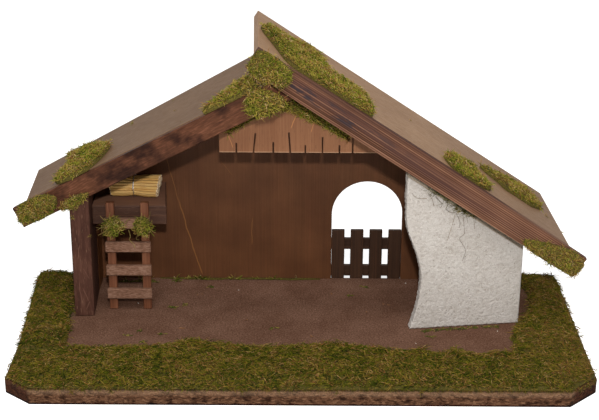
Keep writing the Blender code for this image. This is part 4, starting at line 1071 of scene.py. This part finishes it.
litterLook = {
    "length": 3.4 * mm, "radius": 0.4 * mm,
    # crumbs that fell on the mat: what they are of, how many bits each has, how long these are beside
    # the others, their tones, and where they lie in millimetres from the middle of the base
    "kinds": {
        "moss": {"of": "moss", "bits": 10, "long": 1, "spots": [
            (-208, 118), (-203, 119), (-197, 117), (-190, 119), (-183, 118), (-176, 119), (-170, 117),
            (-146, 51), (-142, 50), (-130, 57), (-169, -34), (-175, -8), (-187, -20), (-104, 105), (-30, 0),
            (73, 107), (55, 83), (138, -19), (-149, -15), (132, -6), (143, -3), (155, -1), (170, 1),
            (183, 3), (199, 5), (212, 7), (137, -4), (149, -2), (163, 0), (177, 2), (191, 4), (205, 6)],
                 "tones": [(0.0, "2b3608"), (0.5, "454a14"), (0.8, "6a6026"), (1.0, "8a7440")]},
        "brown": {"of": "bark", "bits": 2, "long": 1, "spots": [
            (-116, 86), (-131, -3), (34, 88), (73, 39), (-60, 20), (12, -20), (95, 60)],
                  "tones": [(0.0, "6f4a30"), (0.5, "946844"), (1.0, "5a3c2a")]},
        "white": {"of": "plaster", "bits": 1, "long": 0.4, "spots": [
            (-73, 97), (119, 118), (119, -35), (210, -3), (-185, 60)],
                  "tones": [(0.0, "cfc6b8"), (0.5, "e4ddd0"), (1.0, "b9b0a2")]},
    },
}


def dropLitter():
    # crumbs of moss, bark and plaster, each a few short bent bits lying together on the mat
    length, radius = litterLook["length"], litterLook["radius"]
    draw = random.Random(31)
    for kind, look in litterLook["kinds"].items():
        material = newMaterial("crumbs of " + look["of"])
        speck = node(material, "ShaderNodeTexNoise",
                     {"Vector": placed(material), "Scale": 900, "Detail": 2.0, "Roughness": 0.55})
        tone = node(material, "ShaderNodeAttribute", attribute_name="tone").outputs["Fac"]
        colour = node(material, "ShaderNodeValToRGB", tone, stops=look["tones"])
        surface(material, colour, 0.9, speck, 0.3, 0.3 * mm)
        lines = []
        for x, y in look["spots"]:
            for _ in range(look["bits"]):
                heading = draw.uniform(0, 2 * math.pi)
                reach = length * draw.uniform(0.5, 1.2) * look["long"]
                start = Vector((x * mm + draw.uniform(-3, 3) * mm, y * mm + draw.uniform(-1.5, 1.5) * mm,
                                stable["floor"] + radius + draw.uniform(0, 0.8) * mm))
                step = Vector((math.cos(heading), math.sin(heading), 0)) * reach
                swerve = Vector((-step.y, step.x, 0)) * draw.uniform(-0.3, 0.3)
                lines.append([start, start + step / 2 + swerve, start + step])
        piece = asObject("crumbs_" + kind, lineMesh("crumbs_" + kind, lines, draw))
        applyTree(piece, threadTree("round crumbs " + kind, 4, material, True), {"Radius": radius})
        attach(piece, "root")
    print("litter dropped")


print("tools ready")
dressNodes()
growMoss()
bindStraw()
layThreads()
dropLitter()

studioLook = {
    "floorSize": 12, "floor": "f4f3f1", "lift": 0.7, "fill": 0.28,
    # watts, size and place of each lamp: the key stands where the gable's shadow says it stood
    "lamps": {"key": (15.2, 0.05, (0.008, -1.317, 0.869)), "overhead": (34, 1.6, (0, -1.127, 2.119))},
}


def studio():
    # a white paper floor that keeps the stable's shadow, a white world, a key lamp and a soft box
    look = studioLook
    paper = newMaterial("white paper floor")
    rays = node(paper, "ShaderNodeLightPath")
    seen = node(paper, "ShaderNodeMath", rays.outputs["Is Camera Ray"], rays.outputs["Is Glossy Ray"],
                operation="MAXIMUM")
    diffuse = node(paper, "ShaderNodeBsdfDiffuse", look["floor"])
    lift = node(paper, "ShaderNodeMath", seen, look["lift"], operation="MULTIPLY")
    glow = node(paper, "ShaderNodeEmission", {"Color": (1, 1, 1, 1), "Strength": lift})
    both = node(paper, "ShaderNodeAddShader", diffuse, glow)
    node(paper, "ShaderNodeOutputMaterial", both)
    shape = bmesh.new()
    bmesh.ops.create_grid(shape, x_segments=1, y_segments=1, size=look["floorSize"] / 2)
    mesh = asMesh(shape, "floor")
    asObject("floor", mesh, paper)
    world = bpy.data.worlds.new("studio")
    bpy.context.scene.world = world
    world.use_nodes = True
    sky = world.node_tree.nodes["Background"]
    sky.inputs["Color"].default_value = (1, 1, 1, 1)
    rays = node(world, "ShaderNodeLightPath")
    seen = node(world, "ShaderNodeMath", rays.outputs["Is Camera Ray"], rays.outputs["Is Glossy Ray"],
                operation="MAXIMUM")
    level = node(world, "ShaderNodeMapRange", {"To Min": look["fill"], "To Max": 1.0, "Value": seen})
    world.node_tree.links.new(level.outputs[0], sky.inputs["Strength"])
    for name, (energy, size, spot) in look["lamps"].items():
        lamp = bpy.data.lights.new(name, "AREA")
        lamp.energy = energy
        lamp.size = size
        box = bpy.data.objects.new(name, lamp)
        box.location = spot
        box.rotation_euler = Vector(spot).to_track_quat("Z", "Y").to_euler()
        bpy.context.scene.collection.objects.link(box)


def aimCamera():
    # worked out from the photograph together with the stable's sizes
    view = {"place": (-4.06 * mm, -1354.5 * mm, 696.6 * mm), "pitch": math.radians(21.74),
            "yaw": math.radians(0.05), "roll": math.radians(-0.34), "lens": 83.64, "sensor": 36}
    data = bpy.data.cameras.new("photo camera")
    data.sensor_width = view["sensor"]
    data.lens = view["lens"]
    data.clip_start = 0.05
    camera = bpy.data.objects.new("photo camera", data)
    bpy.context.scene.collection.objects.link(camera)
    forward = Vector((math.sin(view["yaw"]) * math.cos(view["pitch"]),
                      math.cos(view["yaw"]) * math.cos(view["pitch"]), -math.sin(view["pitch"])))
    right = Vector((math.cos(view["yaw"]), -math.sin(view["yaw"]), 0))
    down = forward.cross(right)
    imageRight = right * math.cos(view["roll"]) + down * math.sin(view["roll"])
    imageDown = -right * math.sin(view["roll"]) + down * math.cos(view["roll"])
    turn = Matrix((imageRight, -imageDown, -forward)).transposed()
    camera.matrix_world = Matrix.Translation(view["place"]) @ turn.to_4x4()
    bpy.context.scene.camera = camera
    bpy.context.scene.view_settings.view_transform = "Standard"


studio()
aimCamera()
print("camera and lamps set")
